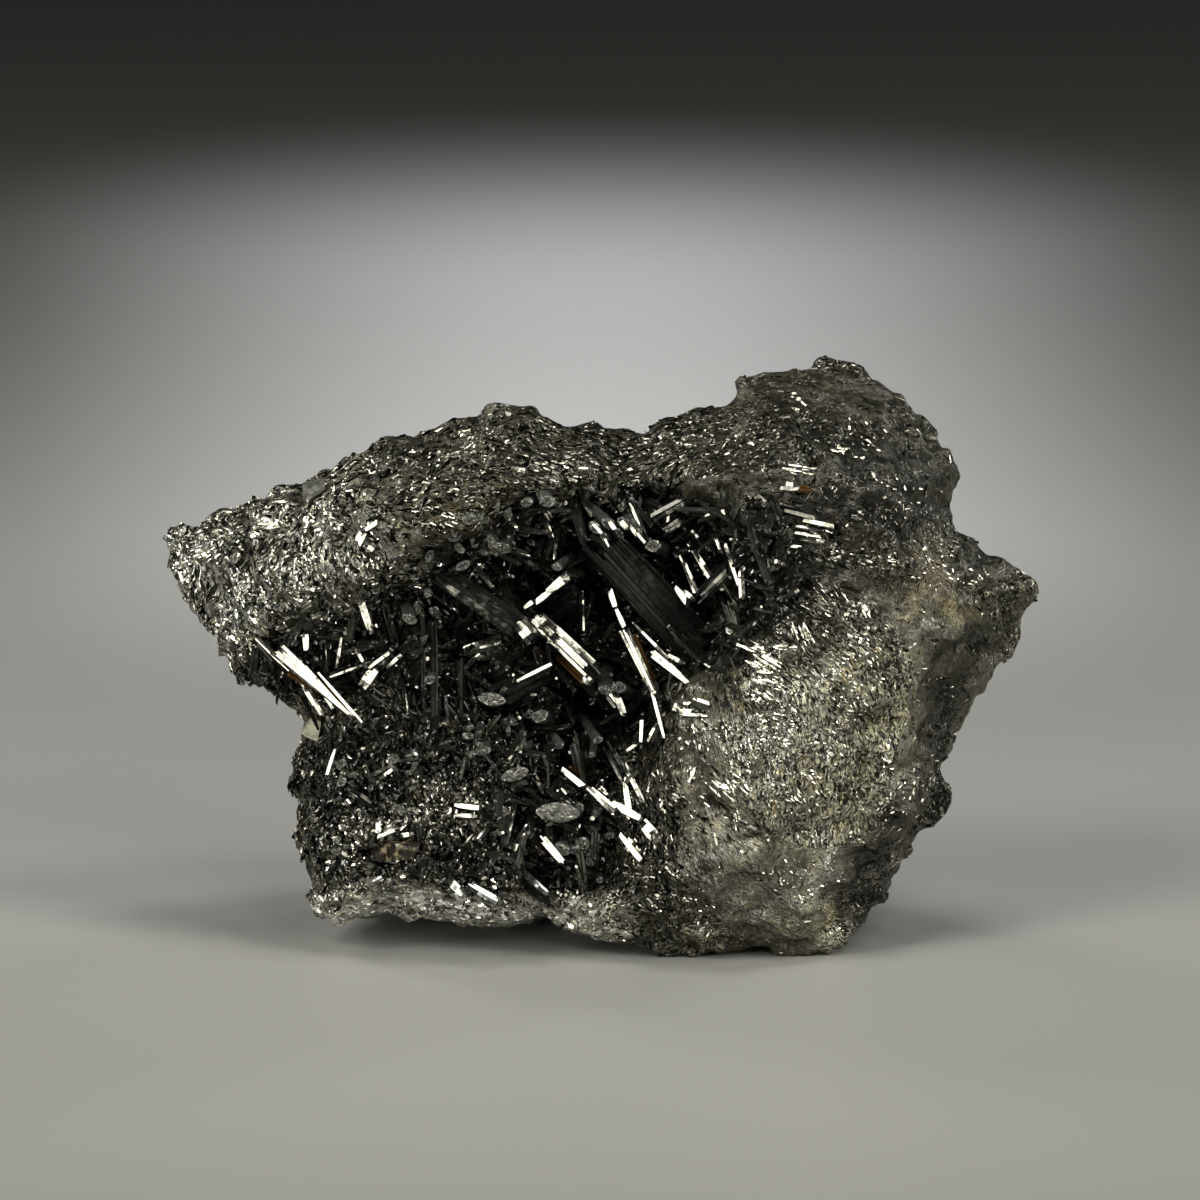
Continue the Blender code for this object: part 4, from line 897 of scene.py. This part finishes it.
def evened(values, ends):
    """Each value halfway to the mean of its neighbours, given the two ends of every edge."""
    total = np.bincount(ends[:, 0], values[ends[:, 1]], len(values))
    total += np.bincount(ends[:, 1], values[ends[:, 0]], len(values))
    return 0.5 * values + 0.5 * total / np.bincount(ends.ravel(), minlength=len(values))


def build_skin(material):
    """The block's fine surface, and what the grains need to know of it: its points, triangles and hollows."""
    bm = even_skin()
    on_floor = [v for v in bm.verts if v.co.z < 0.5 * SKIN_VOXEL]
    axes = {f"use_axis_{axis}": True for axis in "xyz"}
    for _ in range(SKIN_SMOOTH):
        bmesh.ops.smooth_vert(bm, verts=bm.verts, factor=0.5, **axes)
    bm.normal_update()
    before = corners_of(bm.verts)
    rough = tint_of(before, np.zeros(len(before)))[1]
    limit = np.where(bare(before, GANGUE_ROOM) > 0, SKIN_LIMIT, -GANGUE_SINK)
    raised = np.clip(rough * np.array([lumpy(v.co) for v in bm.verts]), -SKIN_LIMIT, limit)
    ends = indices(bm.edges)
    for _ in range(MOVE_SMOOTH):
        raised = evened(raised, ends)
    for vertex, move in zip(bm.verts, raised):
        vertex.co += vertex.normal * move
    for vertex in on_floor:
        vertex.co.z = 0
    for vertex in bm.verts:
        vertex.co = Vector(kept_inside(np.array(vertex.co)))
    bm.normal_update()
    points = corners_of(bm.verts)
    triangles = indices(bm.faces)
    hollow = hollow_share(points)
    bmesh.ops.scale(bm, vec=(MM,) * 3, verts=bm.verts)
    mesh = bpy.data.meshes.new("stone_skin")
    bm.to_mesh(mesh)
    bm.free()
    mesh.shade_smooth()
    colour, _, gloss = tint_of(points, hollow)
    # Painted shade and light: darker where the skin was moved in, lighter where it stands out.
    paint(mesh, colour * np.clip(1 + RELIEF_SHADE * raised, 0.3, 1.6)[:, None])
    for name, values in zip(("gloss", "way", "combed"), (gloss, *combing(points))):
        keep(mesh, name, "FLOAT", "value", values)
    return piece_of("stone_skin", mesh, material), points, triangles, hollow


# ---- Grains ----
def random_places(points, triangles, weight, count, rng):
    """Random points on triangles: the points, their normals and which triangle each is on."""
    a, b, c = (points[triangles[:, k]] for k in range(3))
    cross = np.cross(b - a, c - a)
    area = np.linalg.norm(cross, axis=1) / 2
    normal = unit(cross)
    chance = area * weight(normal, (a + b + c) / 3)
    chosen = rng.choice(len(triangles), count, p=chance / chance.sum())
    u, v = rng.random((2, count))
    flip = u + v > 1
    u, v = np.where(flip, 1 - u, u)[:, None], np.where(flip, 1 - v, v)[:, None]
    return a[chosen] + u * (b - a)[chosen] + v * (c - a)[chosen], normal[chosen], chosen


FAN = (7.5, 36.0)  # the x and h that the needles on the right radiate from
# Where the sheaves lie alike: x, h, half width, half height, direction in degrees or None for radiating from
# FAN, and how much alike. Later ones lie over earlier ones.
COMBED = (
    (8, 52, 28, 7, -12, 0.8),
    (-12, 45, 13, 6, -14, 0.9),
    (22, 24, 17, 22, None, 0.95),
    (30, 42, 12, 6, -20, 0.7),
    (36, 16, 6, 12, 60, 0.6),
    (-14, 3, 18, 3, 0, 0.7),
    (-32, 38, 8, 6, 35, 0.5),
)
# The lie of the grains: x, h, half width, half height, length, width, direction in degrees or None for
# radiating from FAN, how far sheaves turn from it, lift in degrees. Later ones lie over earlier ones.
HABITS = (
    (-30, 37, 15, 10, 0.85, 0.32, 20, 110, 13),  # left wing
    (8, 52, 26, 6.5, 0.9, 0.22, -6, 45, 7),  # top band
    (-11, 44, 11, 5, 0.8, 0.17, -14, 30, 5),  # brown shoulder
    (-22, 48, 9, 4, 0.9, 0.25, 15, 70, 10),  # left slope
    (26, 50, 10, 8, 0.7, 0.22, -30, 80, 9),  # peak
    (24, 22, 18, 20, 0.6, 0.18, None, 70, 7),  # right wall
    (14, 29, 6, 7, 1.3, 0.22, None, 30, 13),  # hollow's right edge
    (10, 14, 6.5, 8, 1.2, 0.24, -60, 30, 11),  # hollow's lower edge
    (19, 40, 6, 6, 1.6, 0.22, 170, 25, 11),  # needle fan
    (-19, 14, 12, 10, 0.75, 0.34, 0, 130, 12),  # lower left
    (-14, 3.5, 18, 2.6, 0.5, 0.32, 0, 90, 8),  # bottom ledge
    (34, 17, 6, 12, 0.65, 0.27, 60, 80, 10),  # right bevel
    (-42, 41.5, 3, 3, 0.6, 0.3, 30, 60, 2),  # left tip
)
HOLLOW_HABIT = (1.2, 0.26, 0, 130, 40)
PLAIN_HABIT = (0.6, 0.19, 0.0, 120.0, 10.0)
SHEAF = 1.7  # across a sheaf of grains that lie alike
LONGEST_GRAIN = 1.7  # times the usual length
WEDGE = ((0, 1, 2), (5, 4, 3), (0, 3, 4, 1), (1, 4, 5, 2), (2, 5, 3, 0))


def from_fan(x, h):
    """The direction away from FAN at each place, in radians."""
    return np.arctan2(h - FAN[1], x - FAN[0])


def habits(x, h, hollow, rng):
    """Length, width, direction, turn and lift of the grain at each place."""
    value = np.tile(np.array(PLAIN_HABIT), (len(x), 1))
    for *patch, length, width, way, turn, lift in HABITS:
        inside = rng.random(len(x)) < cover(x, h, patch, HABIT_FADE)
        value[inside] = (length, width, 0, turn, lift)
        value[inside, 2] = np.degrees(from_fan(x, h))[inside] if way is None else way
    value[rng.random(len(x)) < hollow] = HOLLOW_HABIT
    return value.T


def combing(points):
    """The direction of the sheaves at each point, and how much they lie alike."""
    x, h = places(points)
    way, alike = np.zeros((2, len(points)))
    for *patch, degrees, most in COMBED:
        share = cover(x, h, patch, COMB_FADE)
        own = from_fan(x, h) if degrees is None else np.radians(degrees)
        way = way * (1 - share) + own * share
        alike = alike * (1 - share) + most * share
    return way, alike


def bare(points, margin=0.1):
    """0 on the grains of other minerals, which nothing covers, and 1 elsewhere."""
    free = np.ones(len(points))
    for node in GANGUE:
        low, high = (np.array(corner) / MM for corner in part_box(node))
        free[np.all((points > low - margin) & (points < high + margin), axis=1)] = 0
    return free


def sheaves(spots, size):
    """Three smooth random numbers at each spot, about -1 to 1, alike within a sheaf."""

    def own(place):
        bend = noise.noise_vector(place / (0.7 * size)) * 0.45
        return noise.cell_vector(place / size + bend)[:]

    return 2 * np.array([own(Vector(p)) for p in spots]) - 1


def build_grains(points, triangles, hollow, material):
    """Tiny blades and wedges that cover the stone, in a few pieces."""
    rng = np.random.default_rng(GRAIN_SEED)

    def in_front(normal, middle):
        facing = normal @ -np.array(SIGHT)
        dense = np.where(middle[:, 0] > RIGHT_SIDE_X, RIGHT_DENSITY, 1.0)
        weight = np.where(facing > FACING, 0.35 + np.clip(facing, 0, 1), 0.0)
        return weight * (middle[:, 2] > LOWEST_FRONT) * dense * bare(middle)

    def behind(normal, middle):
        turned_away = normal @ -np.array(SIGHT) <= -FACING
        return turned_away * (middle[:, 2] > LOWEST_BACK) * bare(middle)

    corners, tints = [], []
    sides = ((in_front, FRONT_GRAINS, 1.0, 1.0), (behind, BACK_GRAINS, BACK_COARSE, BACK_LIFT))
    for weight, count, coarse, lift_share in sides:
        spots, normals, chosen = random_places(points, triangles, weight, count, rng)
        x, h = places(spots)
        in_hollow = hollow[triangles[chosen, 0]]
        length, width, way, turn, lift = habits(x, h, in_hollow, rng)
        size = coarse * np.minimum(rng.lognormal(*SIZE_SPREAD, count), LONGEST_GRAIN)
        alike = sheaves(spots, SHEAF * coarse)
        way = np.radians(way + turn * alike[:, 0] + rng.normal(0, WAY_STRAY, count))
        lift = lift * (0.35 + 0.65 * alike[:, 1]) + rng.normal(0, LIFT_STRAY, count)
        lift = np.radians(lift_share * lift)
        aim = np.cos(way)[:, None] * np.array(RIGHT) + np.sin(way)[:, None] * np.array(UP)
        flat = unit(aim - normals * (aim * normals).sum(1, keepdims=True))
        along = flat * np.cos(lift)[:, None] + normals * np.sin(lift)[:, None]
        side = unit(np.cross(along, normals))
        out = np.cross(side, along)
        roll = (SHEAF_ROLL * alike[:, 2] + rng.normal(0, GRAIN_ROLL, count))[:, None]
        side, out = side * np.cos(roll) + out * np.sin(roll), out * np.cos(roll) - side * np.sin(roll)
        corners.append(wedges(spots, along, side, out, length * size, width * size, rng))
        even = (x > RIGHT_SIDE_X) | (spots[:, 1] > BACK_SIDE_Y)
        darkest = np.where(even, DARKEST_EVEN_GRAIN, DARKEST_GRAIN)
        local = LEAST_SHINE + LOCAL_SHINE * tint_of(spots, in_hollow)[0][:, 1]
        tints.append(np.array(GLINT) * (local * 2.0 ** rng.uniform(darkest, BRIGHTEST_GRAIN))[:, None])
    corners, tints = kept_inside(np.vstack(corners)), np.vstack(tints)
    order = np.random.default_rng(GRAIN_SEED + 1).permutation(len(corners))
    pieces = []
    for number, part in enumerate(np.array_split(order, GRAIN_PIECES)):
        heap = Heap()
        heap.add_copies(corners[part], WEDGE, tints[part])
        pieces.append(heap.piece(f"surface_grains_{number + 1}", material))
    return pieces


def wedges(spots, along, side, out, length, width, rng):
    """Corners of three-sided wedges that lie on spots."""
    count = len(spots)
    height = width * rng.uniform(0.4, 0.75, count)
    peak = width * rng.uniform(-0.3, 0.3, count)
    slopes = length * rng.uniform(0.0, 0.25, (2, count))
    foot = -0.6 * height
    section = ((-0.5 * width, foot, 0), (peak, 0.4 * height, 1), (0.5 * width, foot, 0))
    corners = []
    for end, slope in ((-0.4, slopes[0]), (0.6, -slopes[1])):
        for across, up, pull in section:
            reach = end * length + pull * slope
            corners.append(spots + along * reach[:, None] + side * across[:, None] + out * up[:, None])
    return np.stack(corners, 1)


# ---- Crystals ----
def mirror_normal(light):
    """The direction that a face must have to mirror a softbox to the viewer."""
    towards = Vector(SOFTBOXES[light][1]).normalized()
    return (towards - SIGHT).normalized()


def mirroring(way, light):
    """A crystal's direction, leant to or from the viewer so that its side can mirror the softbox."""
    half = mirror_normal(light)
    flat = way - SIGHT * way.dot(SIGHT)
    lean = -flat.dot(half) / SIGHT.dot(half)
    most = MOST_LEAN * flat.length
    return flat + SIGHT * max(-most, min(most, lean))


def brightness(way):
    """How near a face that looks this way comes to mirroring a softbox. The pale floor counts as one."""
    if SIGHT.reflect(way).z < 0.05:
        return 1.0
    return max(way.dot(mirror_normal(light)) for light in range(len(SOFTBOXES)))


def darkest_way(chance):
    """A direction towards the viewer that mirrors none of the softboxes."""
    ways = []
    for _ in range(DARK_TRIES):
        way = -SIGHT + RIGHT * chance.uniform(-0.5, 0.5) + UP * chance.uniform(-0.5, 0.5)
        ways.append(way.normalized())
    return min(ways, key=brightness)


def lath(heap, foot, tip, widths, thickness, out, tint, chance, bend=0.0, edge=0.34):
    """One flat six-sided prism whose broad side faces out, bent a little along its length."""
    axis = tip - foot
    length = axis.length
    axis = axis / length
    side = axis.cross(out).normalized()
    out = side.cross(axis)
    ring = ((-0.5, 0.0), (-edge, 0.5), (edge, 0.5), (0.5, 0.0), (edge, -0.5), (-edge, -0.5))
    slopes = [(chance.uniform(-0.7, 0.7), chance.uniform(-0.8, 0.3)) for _ in range(2)]
    tapers = (chance.uniform(0.7, 0.95), 1.0, chance.uniform(0.9, 1.0), chance.uniform(0.55, 0.9))
    cuts = (slopes[0], (0, 0), (0, 0), slopes[1])
    points = []
    for share, taper, (slope, lean) in zip((0.0, 0.3, 0.7, 1.0), tapers, cuts):
        bow = out * (bend * length * share * (1 - share) * 4)
        width = widths[0] + share * (widths[1] - widths[0])
        for across, up in ring:
            a, u = across * width * taper, up * thickness * taper
            points.append(foot + axis * (share * length + slope * a + lean * u) + side * a + out * u + bow)
    faces = [(5, 4, 3, 2, 1, 0), (18, 19, 20, 21, 22, 23)]
    for start in (0, 6, 12):
        faces += [(start + k, start + n, start + n + 6, start + k + 6) for k, n in ring_pairs(6)]
    heap.add(points, faces, tint)


def tone(share):
    """A crystal's colour from black to grey."""
    return BLACK + share * (GREY - BLACK)


def bundle(heap, foot, tip, widths, thickness, out, tint, chance, wild=6.0, rib=RIB, bend=0.012, crown=CROWN):
    """A crystal grown from laths side by side, as a ribbed blade is. Each lath is about rib wide and turned
    by about wild degrees at random, and the crystal's face turns by crown degrees from side to side."""
    axis = (tip - foot).normalized()
    side = axis.cross(out).normalized()
    laths = max(1, round(max(widths) / rib * chance.uniform(0.8, 1.2)))
    shares = np.array([chance.uniform(0.5, 1.5) for _ in range(laths)])
    shares = shares / shares.sum()
    edge = -0.5
    for share in shares:
        place = edge + share / 2
        edge += share
        round_off = 1 - 1.6 * place * place
        lift = out * (chance.uniform(-0.1, 0.1) * thickness - 0.3 * thickness * (1 - round_off))
        tilt = math.radians(chance.gauss(0, wild) + crown * place) if laths > 1 else 0
        cut = (tip - foot) * (chance.uniform(0.0, FRAY) + 0.2 * place * place if laths > 1 else 0)
        facing = (out * math.cos(tilt) + side * math.sin(tilt)).normalized()
        start = foot + side * (place * widths[0]) + lift + cut * chance.uniform(0, 0.6)
        end = tip + side * (place * widths[1]) + lift - cut
        own_widths = [share * width * 1.25 for width in widths]
        own_tint = np.array(tint) * chance.uniform(0.6, 1.2)
        lath(
            heap, start, end, own_widths, thickness * (0.55 + 0.45 * round_off), facing, own_tint, chance,
            bend=chance.gauss(0, bend), edge=0.4 if wild < 4 else 0.34,
        )


def rooted(heap, wall, foot, way, width, thickness, chance):
    """A crystal behind the foot of one that stands free, back to the wall, hidden behind it."""
    hit = wall.ray_cast(foot, SIGHT)[0]
    if hit is None or (hit - foot).length < SUNK:
        return
    lean = random_vector(chance.uniform, -0.12, 0.12)
    out = way.normalized().cross(SIGHT)
    back = hit + (SIGHT + lean)
    lath(heap, back, foot - SIGHT * 0.1, (width * 0.8,) * 2, thickness, out, tone(0.1), chance)


def large_crystals(heap, shaded_heap, wall, chance):
    """The crystals of the list, the dark ones, with painted shade, in a heap of their own."""
    for foot_x, foot_h, tip_x, tip_h, tip_y, *widths, light in CRYSTALS:
        thickness = 0.25 + 0.3 * max(widths)
        end_wall = struck(wall, tip_x, tip_h)
        if end_wall is None:
            continue
        tip = seen(tip_x, tip_h, min(tip_y, end_wall.y - 0.5 * thickness - 0.3))
        if light in (None, STAIN):
            foot = struck(wall, foot_x, foot_h) + SIGHT * SUNK
            out = darkest_way(chance)
            # Painted shade: a black crystal gets the darkest tones, while those that mirror a softbox get
            # lighter ones.
            tint = RUST * chance.uniform(0.6, 1.2) if light == STAIN else tone(chance.uniform(0.0, 0.2))
            looks = {"wild": 4.0}
            if max(widths) > BROAD:
                looks = {"wild": 2.5, "rib": BROAD_RIB, "crown": BROAD_CROWN}
            bundle(shaded_heap, foot, tip, widths, thickness, out, tint, chance, **looks)
            continue
        way = RIGHT * (tip_x - foot_x) + UP * (tip_h - foot_h)
        foot = tip - mirroring(way, light)
        # Painted light: a crystal that mirrors a softbox gets a lighter tone than a black one.
        tint = tone(chance.uniform(0.5, 1.0))
        looks = {"wild": 3.0, "rib": 0.3 if way.length > LONG else 0.5, "bend": 0.018, "crown": BROAD_CROWN}
        bundle(heap, foot, tip, widths, thickness, mirror_normal(light), tint, chance, **looks)
        rooted(heap, wall, foot, tip - foot, min(widths), thickness, chance)


def needle_sheaves(heap, skin_tree, chance):
    """Bright needles on the stone, each with a side that can mirror a softbox."""
    for x, h, half_width, half_height, way, fan, length, width, number, lights in SHEAVES:
        for _ in range(number):
            around, out = chance.uniform(0, 2 * math.pi), math.sqrt(chance.random())
            right, up = half_width * out * math.cos(around), half_height * out * math.sin(around)
            hit = struck(skin_tree, x + right, h + up)
            if hit is None:
                continue
            turn = math.radians(way + chance.uniform(-fan, fan))
            light = chance.choice(lights)
            own = length * chance.uniform(0.6, 1.5)
            shine = chance.uniform(-1.5, 1.2) if length > LONG_NEEDLE else chance.uniform(-3.0, 1.0)
            half = mirroring((RIGHT * math.cos(turn) + UP * math.sin(turn)) * own, light) / 2
            facing = (mirror_normal(light) + random_vector(chance.gauss, 0, 0.035)).normalized()
            widths = (width * chance.uniform(0.6, 1.2), width * chance.uniform(0.4, 1.0))
            middle = hit - SIGHT * 0.12
            ends = (middle - half, middle + half)
            tint = np.array(GLINT) * 2.0 ** shine
            bend = chance.gauss(0, 0.03)
            lath(heap, *ends, widths, 0.5 * width, facing, tint, chance, bend=bend, edge=0.42)


def longest_at(x, h):
    """The length that a small crystal at this place stays under, 0 where none grows."""
    return next(longest for right_x, longest in (LONGEST_LOW if h < LOW_H else LONGEST_HIGH) if x < right_x)


def thicket(heap, wall, points, triangles, hollow, chance, rng):
    """The many smaller crystals that fill the hollow, in small sheaves."""

    def in_hollow(normal, middle):
        return hollow[triangles[:, 0]] * (0.25 + np.abs(normal @ np.array(SIGHT)))

    spots, normals, _ = random_places(points, triangles, in_hollow, THICKET, rng)
    for spot, normal in zip(spots, normals):
        wild = random_vector(chance.gauss, 0, 0.7)
        wild -= SIGHT * (wild.dot(SIGHT) * 0.6)
        way = (Vector(normal) * 0.5 - SIGHT * 0.45 + wild).normalized()
        longest = longest_at(*places(spot))
        if way.dot(SIGHT) > -0.08 or not longest:
            continue
        length = min(longest, SHORTEST + chance.expovariate(1 / MEAN_MORE))
        foot = Vector(spot) - way * SUNK
        for _ in range(chance.choice((1, 1, 2, 3))):
            lean = random_vector(chance.gauss, 0, 0.1)
            end = foot + (way + lean).normalized() * (length * chance.uniform(0.6, 1.1) + SUNK)
            there = np.array([end[:]])
            ahead = struck(wall, *places(there[0]))
            if ahead is None or ahead.y < end.y + 0.2 or end.y < NEAREST_Y or hollow_share(there)[0] < 0.3:
                continue
            width = chance.uniform(0.22, 0.5) + length * chance.uniform(0.02, 0.14)
            widths = (width, width * chance.uniform(0.6, 1.0))
            outs = [(random_vector(chance.uniform, -0.9, 0.9) - SIGHT).normalized() for _ in range(3)]
            out = min(outs, key=brightness)
            shift = random_vector(chance.gauss, 0, 0.35)
            thickness = width * chance.uniform(0.35, 0.7)
            tint = tone(chance.choice((0.05, 0.15, 0.3, 0.7)))
            bundle(heap, foot + shift, end + shift, widths, thickness, out, tint, chance)


def lens_end(heap, wall, x, h, y, width, height, turn, chance, around=18, uneven=0.0):
    """A short lens-shaped crystal that points at the viewer, its end rough with pits."""
    reach = [1 + uneven * chance.uniform(-1, 0.6) for _ in range(around)]
    hit = struck(wall, x, h)
    y = min(max(y, hit.y - GROUP_OUT) if uneven else y, hit.y - END_OUT)
    slant = 1 + uneven
    lean = Vector((chance.uniform(-0.2, 0.2), 0, chance.uniform(-0.25, 0.1))) * slant
    axis = (-SIGHT + lean).normalized()
    side = RIGHT.cross(axis)
    across = (side.cross(axis) * -1).normalized()
    spin = Matrix.Rotation(math.radians(turn), 3, axis)
    across, side = spin @ across, spin @ side
    middle = seen(x, h, y)
    depth = max(1.0, (hit - middle).length + END_OUT)

    def rim(start, k, share, shift=0.0):
        """A point on a share of the lens, whose two arcs meet in points at the left and the right."""
        angle = 2 * math.pi * (k + shift) / around
        a, b = math.cos(angle), math.sin(angle)
        a, b = a * width / 2 * reach[k], b * abs(b) ** 0.35 * height / 2 * reach[k]
        return start + across * a * share + side * b * share

    points = [rim(middle - axis * depth, k, 0.9) for k in range(around)]
    for ring in range(END_RINGS):
        share = 1 - ring / END_RINGS
        for k in range(around):
            bump = chance.uniform(-0.12, 0.12) if ring else 0
            rise = 0.12 * height * (1 - share * share) + bump
            points.append(rim(middle, k, share, 0.3 * ring) + axis * rise)
    points.append(middle + axis * chance.uniform(0, 0.2))
    faces = [tuple(range(around))[::-1]]
    for ring in range(END_RINGS):
        low, high = ring * around, (ring + 1) * around
        faces += [(low + k, low + n, high + n, high + k) for k, n in ring_pairs(around)]
    last = END_RINGS * around
    faces += [(last + k, last + n, len(points) - 1) for k, n in ring_pairs(around)]
    heap.add(points, faces, GREY)


# Where more such ends stand close together: x, h, half width, half height, y, number.
END_GROUPS = (
    (-11, 42.6, 5.5, 2.4, -15, 22),
    (-16.5, 37.6, 3, 3.4, -14.6, 12),
    (-1, 45.4, 6, 1.2, -15, 14),
    (-6, 11.5, 6, 4.4, -17, 20),
    (-22.6, 15, 4.4, 5.6, -15, 40),
    (-9, 22.5, 5, 2.4, -14.8, 12),
)


def build_crystals(wall, points, triangles, hollow):
    """Everything that grows in the hollow."""
    chance = random.Random(CRYSTAL_SEED)
    large, dark, small, bright, ends = (Heap() for _ in range(5))
    large_crystals(large, dark, wall, chance)
    thicket(small, wall, points, triangles, hollow, chance, np.random.default_rng(CRYSTAL_SEED))
    needle_sheaves(bright, BVHTree.FromPolygons(points.tolist(), triangles.tolist()), chance)
    for row in LENS_ENDS:
        lens_end(ends, wall, *row, chance)
    for mid_x, mid_h, half_width, half_height, y, number in END_GROUPS:
        for _ in range(number):
            x, h = mid_x + half_width * chance.uniform(-1, 1), mid_h + half_height * chance.uniform(-1, 1)
            width = chance.uniform(0.5, 1.4)
            height = width * chance.uniform(0.45, 0.9)
            turn = chance.uniform(0, 180)
            lens_end(ends, wall, x, h, y, width, height, turn, chance, around=8, uneven=0.35)
    glossy = crystal_material("manganite_crystals")
    return [
        large.piece("large_crystals", glossy),
        dark.piece("shaded_dark_crystals", crystal_material("shaded_dark_crystals", SHADED_IOR)),
        small.piece("small_crystals", glossy),
        bright.piece("needle_sheaves", grain_material("bright_needles")),
        ends.piece("lens_shaped_crystals", end_material()),
    ]


# ---- Grains of other minerals ----
def dress_gangue():
    """The pale grains keep their solids and get better materials."""
    for node, looks in GANGUE.items():
        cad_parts[node].material_slots[0].material = gangue_material(node + "_look", *looks)


# ---- Stage ----
def build_stage():
    """A pale plain floor that curves up to a wall far away all round."""
    profile = [(FLOOR_MIDDLE, 0), (FLOOR_FLAT, 0)]
    for step in range(1, BEND_STEPS + 1):
        angle = math.radians(90 * step / BEND_STEPS)
        profile.append((FLOOR_FLAT + FLOOR_BEND * math.sin(angle), FLOOR_BEND * (1 - math.cos(angle))))
    profile.append((FLOOR_FLAT + FLOOR_BEND, WALL_TOP))
    bm = bmesh.new()
    middle = bm.verts.new((0, 0, 0))
    rings = []
    for radius, z in profile:
        angles = [2 * math.pi * k / FLOOR_SIDES for k in range(FLOOR_SIDES)]
        rings.append([bm.verts.new((radius * math.cos(t), radius * math.sin(t), z)) for t in angles])
    for k, n in ring_pairs(FLOOR_SIDES):
        bm.faces.new((middle, rings[0][k], rings[0][n]))
        for inner, outer in zip(rings, rings[1:]):
            bm.faces.new((inner[k], outer[k], outer[n], inner[n]))
    mesh = bpy.data.meshes.new("floor")
    bm.to_mesh(mesh)
    bm.free()
    mesh.shade_smooth()
    n = Nodes("pale_floor")
    n.surface(IOR=1.45, Base_Color=(0.42, 0.42, 0.42, 1), Roughness=0.45)
    piece_of("floor", mesh, n.material)


def softbox(name, place, aim, width, height, radiance, beam, colour):
    """An area light with a grid, which gives the same radiance whatever its beam."""
    half_beam = math.radians(beam / 2)
    lamp = bpy.data.lights.new(name, "AREA")
    lamp.shape = "RECTANGLE"
    lamp.size, lamp.size_y = width * MM, height * MM
    lamp.energy = radiance * math.pi * width * height * MM * MM * (1 - half_beam / math.tan(half_beam))
    lamp.color = colour
    lamp.spread = 2 * half_beam
    made = in_scene(name, lamp)
    made.visible_camera = False
    made.location = Vector(place) * MM
    made.rotation_euler = (-Vector(aim)).to_track_quat("Z", "Y").to_euler()


def build_lights():
    """The softboxes around the block, the glow on the floor behind it and a faint even light."""
    for name, towards, away, width, height, radiance, colour in SOFTBOXES:
        towards = Vector(towards).normalized()
        place = Vector(LIT_MIDDLE) + towards * away
        softbox(name, place, -towards, width, height, radiance, BEAM, colour)
    place, width, length, radiance, beam = FLOOR_GLOW
    softbox("floor_glow", place, (0, 0, -1), width, length, radiance, beam, (1, 1, 1))
    world = bpy.data.worlds.new("studio")
    world.use_nodes = True
    background = world.node_tree.nodes["Background"]
    background.inputs["Color"].default_value = WORLD_COLOUR
    background.inputs["Strength"].default_value = WORLD_STRENGTH
    bpy.context.scene.world = world


def build_camera():
    """The camera far in front of the block, which looks along SIGHT."""
    data = bpy.data.cameras.new("camera")
    data.sensor_width = SENSOR
    data.lens = SENSOR * CAMERA_AWAY / FRAME_WIDTH
    data.clip_end = CLIP_FAR
    camera = in_scene("camera", data)
    camera.location = (seen(*CAMERA_AIM) - SIGHT * CAMERA_AWAY) * MM
    camera.rotation_euler = SIGHT.to_track_quat("-Z", "Y").to_euler()
    bpy.context.scene.camera = camera


# ---- Everything ----
noise.seed_set(NOISE_SEED)  # noise_vector's offsets come from the clock otherwise
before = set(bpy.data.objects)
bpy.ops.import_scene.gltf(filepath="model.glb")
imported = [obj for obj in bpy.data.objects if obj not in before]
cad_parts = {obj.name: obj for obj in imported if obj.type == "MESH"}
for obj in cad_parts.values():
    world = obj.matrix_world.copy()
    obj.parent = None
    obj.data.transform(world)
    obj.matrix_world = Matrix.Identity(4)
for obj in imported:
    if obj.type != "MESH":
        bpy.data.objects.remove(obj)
cad_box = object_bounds()
lowest, highest = (np.array(corner) / MM for corner in cad_box)
lowest[2] -= INSET  # the foot stands on the floor
build_camera()
build_lights()
build_stage()
bpy.context.scene.view_settings.view_transform = "Standard"

wall = BVHTree.FromBMesh(welded(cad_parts["matrix"]))
skin, skin_points, skin_triangles, hollow = build_skin(massive_material())
grain_pieces = build_grains(skin_points, skin_triangles, hollow, grain_material("manganite_grains"))
crystal_pieces = build_crystals(wall, skin_points, skin_triangles, hollow)
dress_gangue()

for piece in [skin, *grain_pieces]:
    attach(piece, "root")
    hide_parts("matrix")
for piece in crystal_pieces:
    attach(piece, "root")
    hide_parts("crystal_crust")
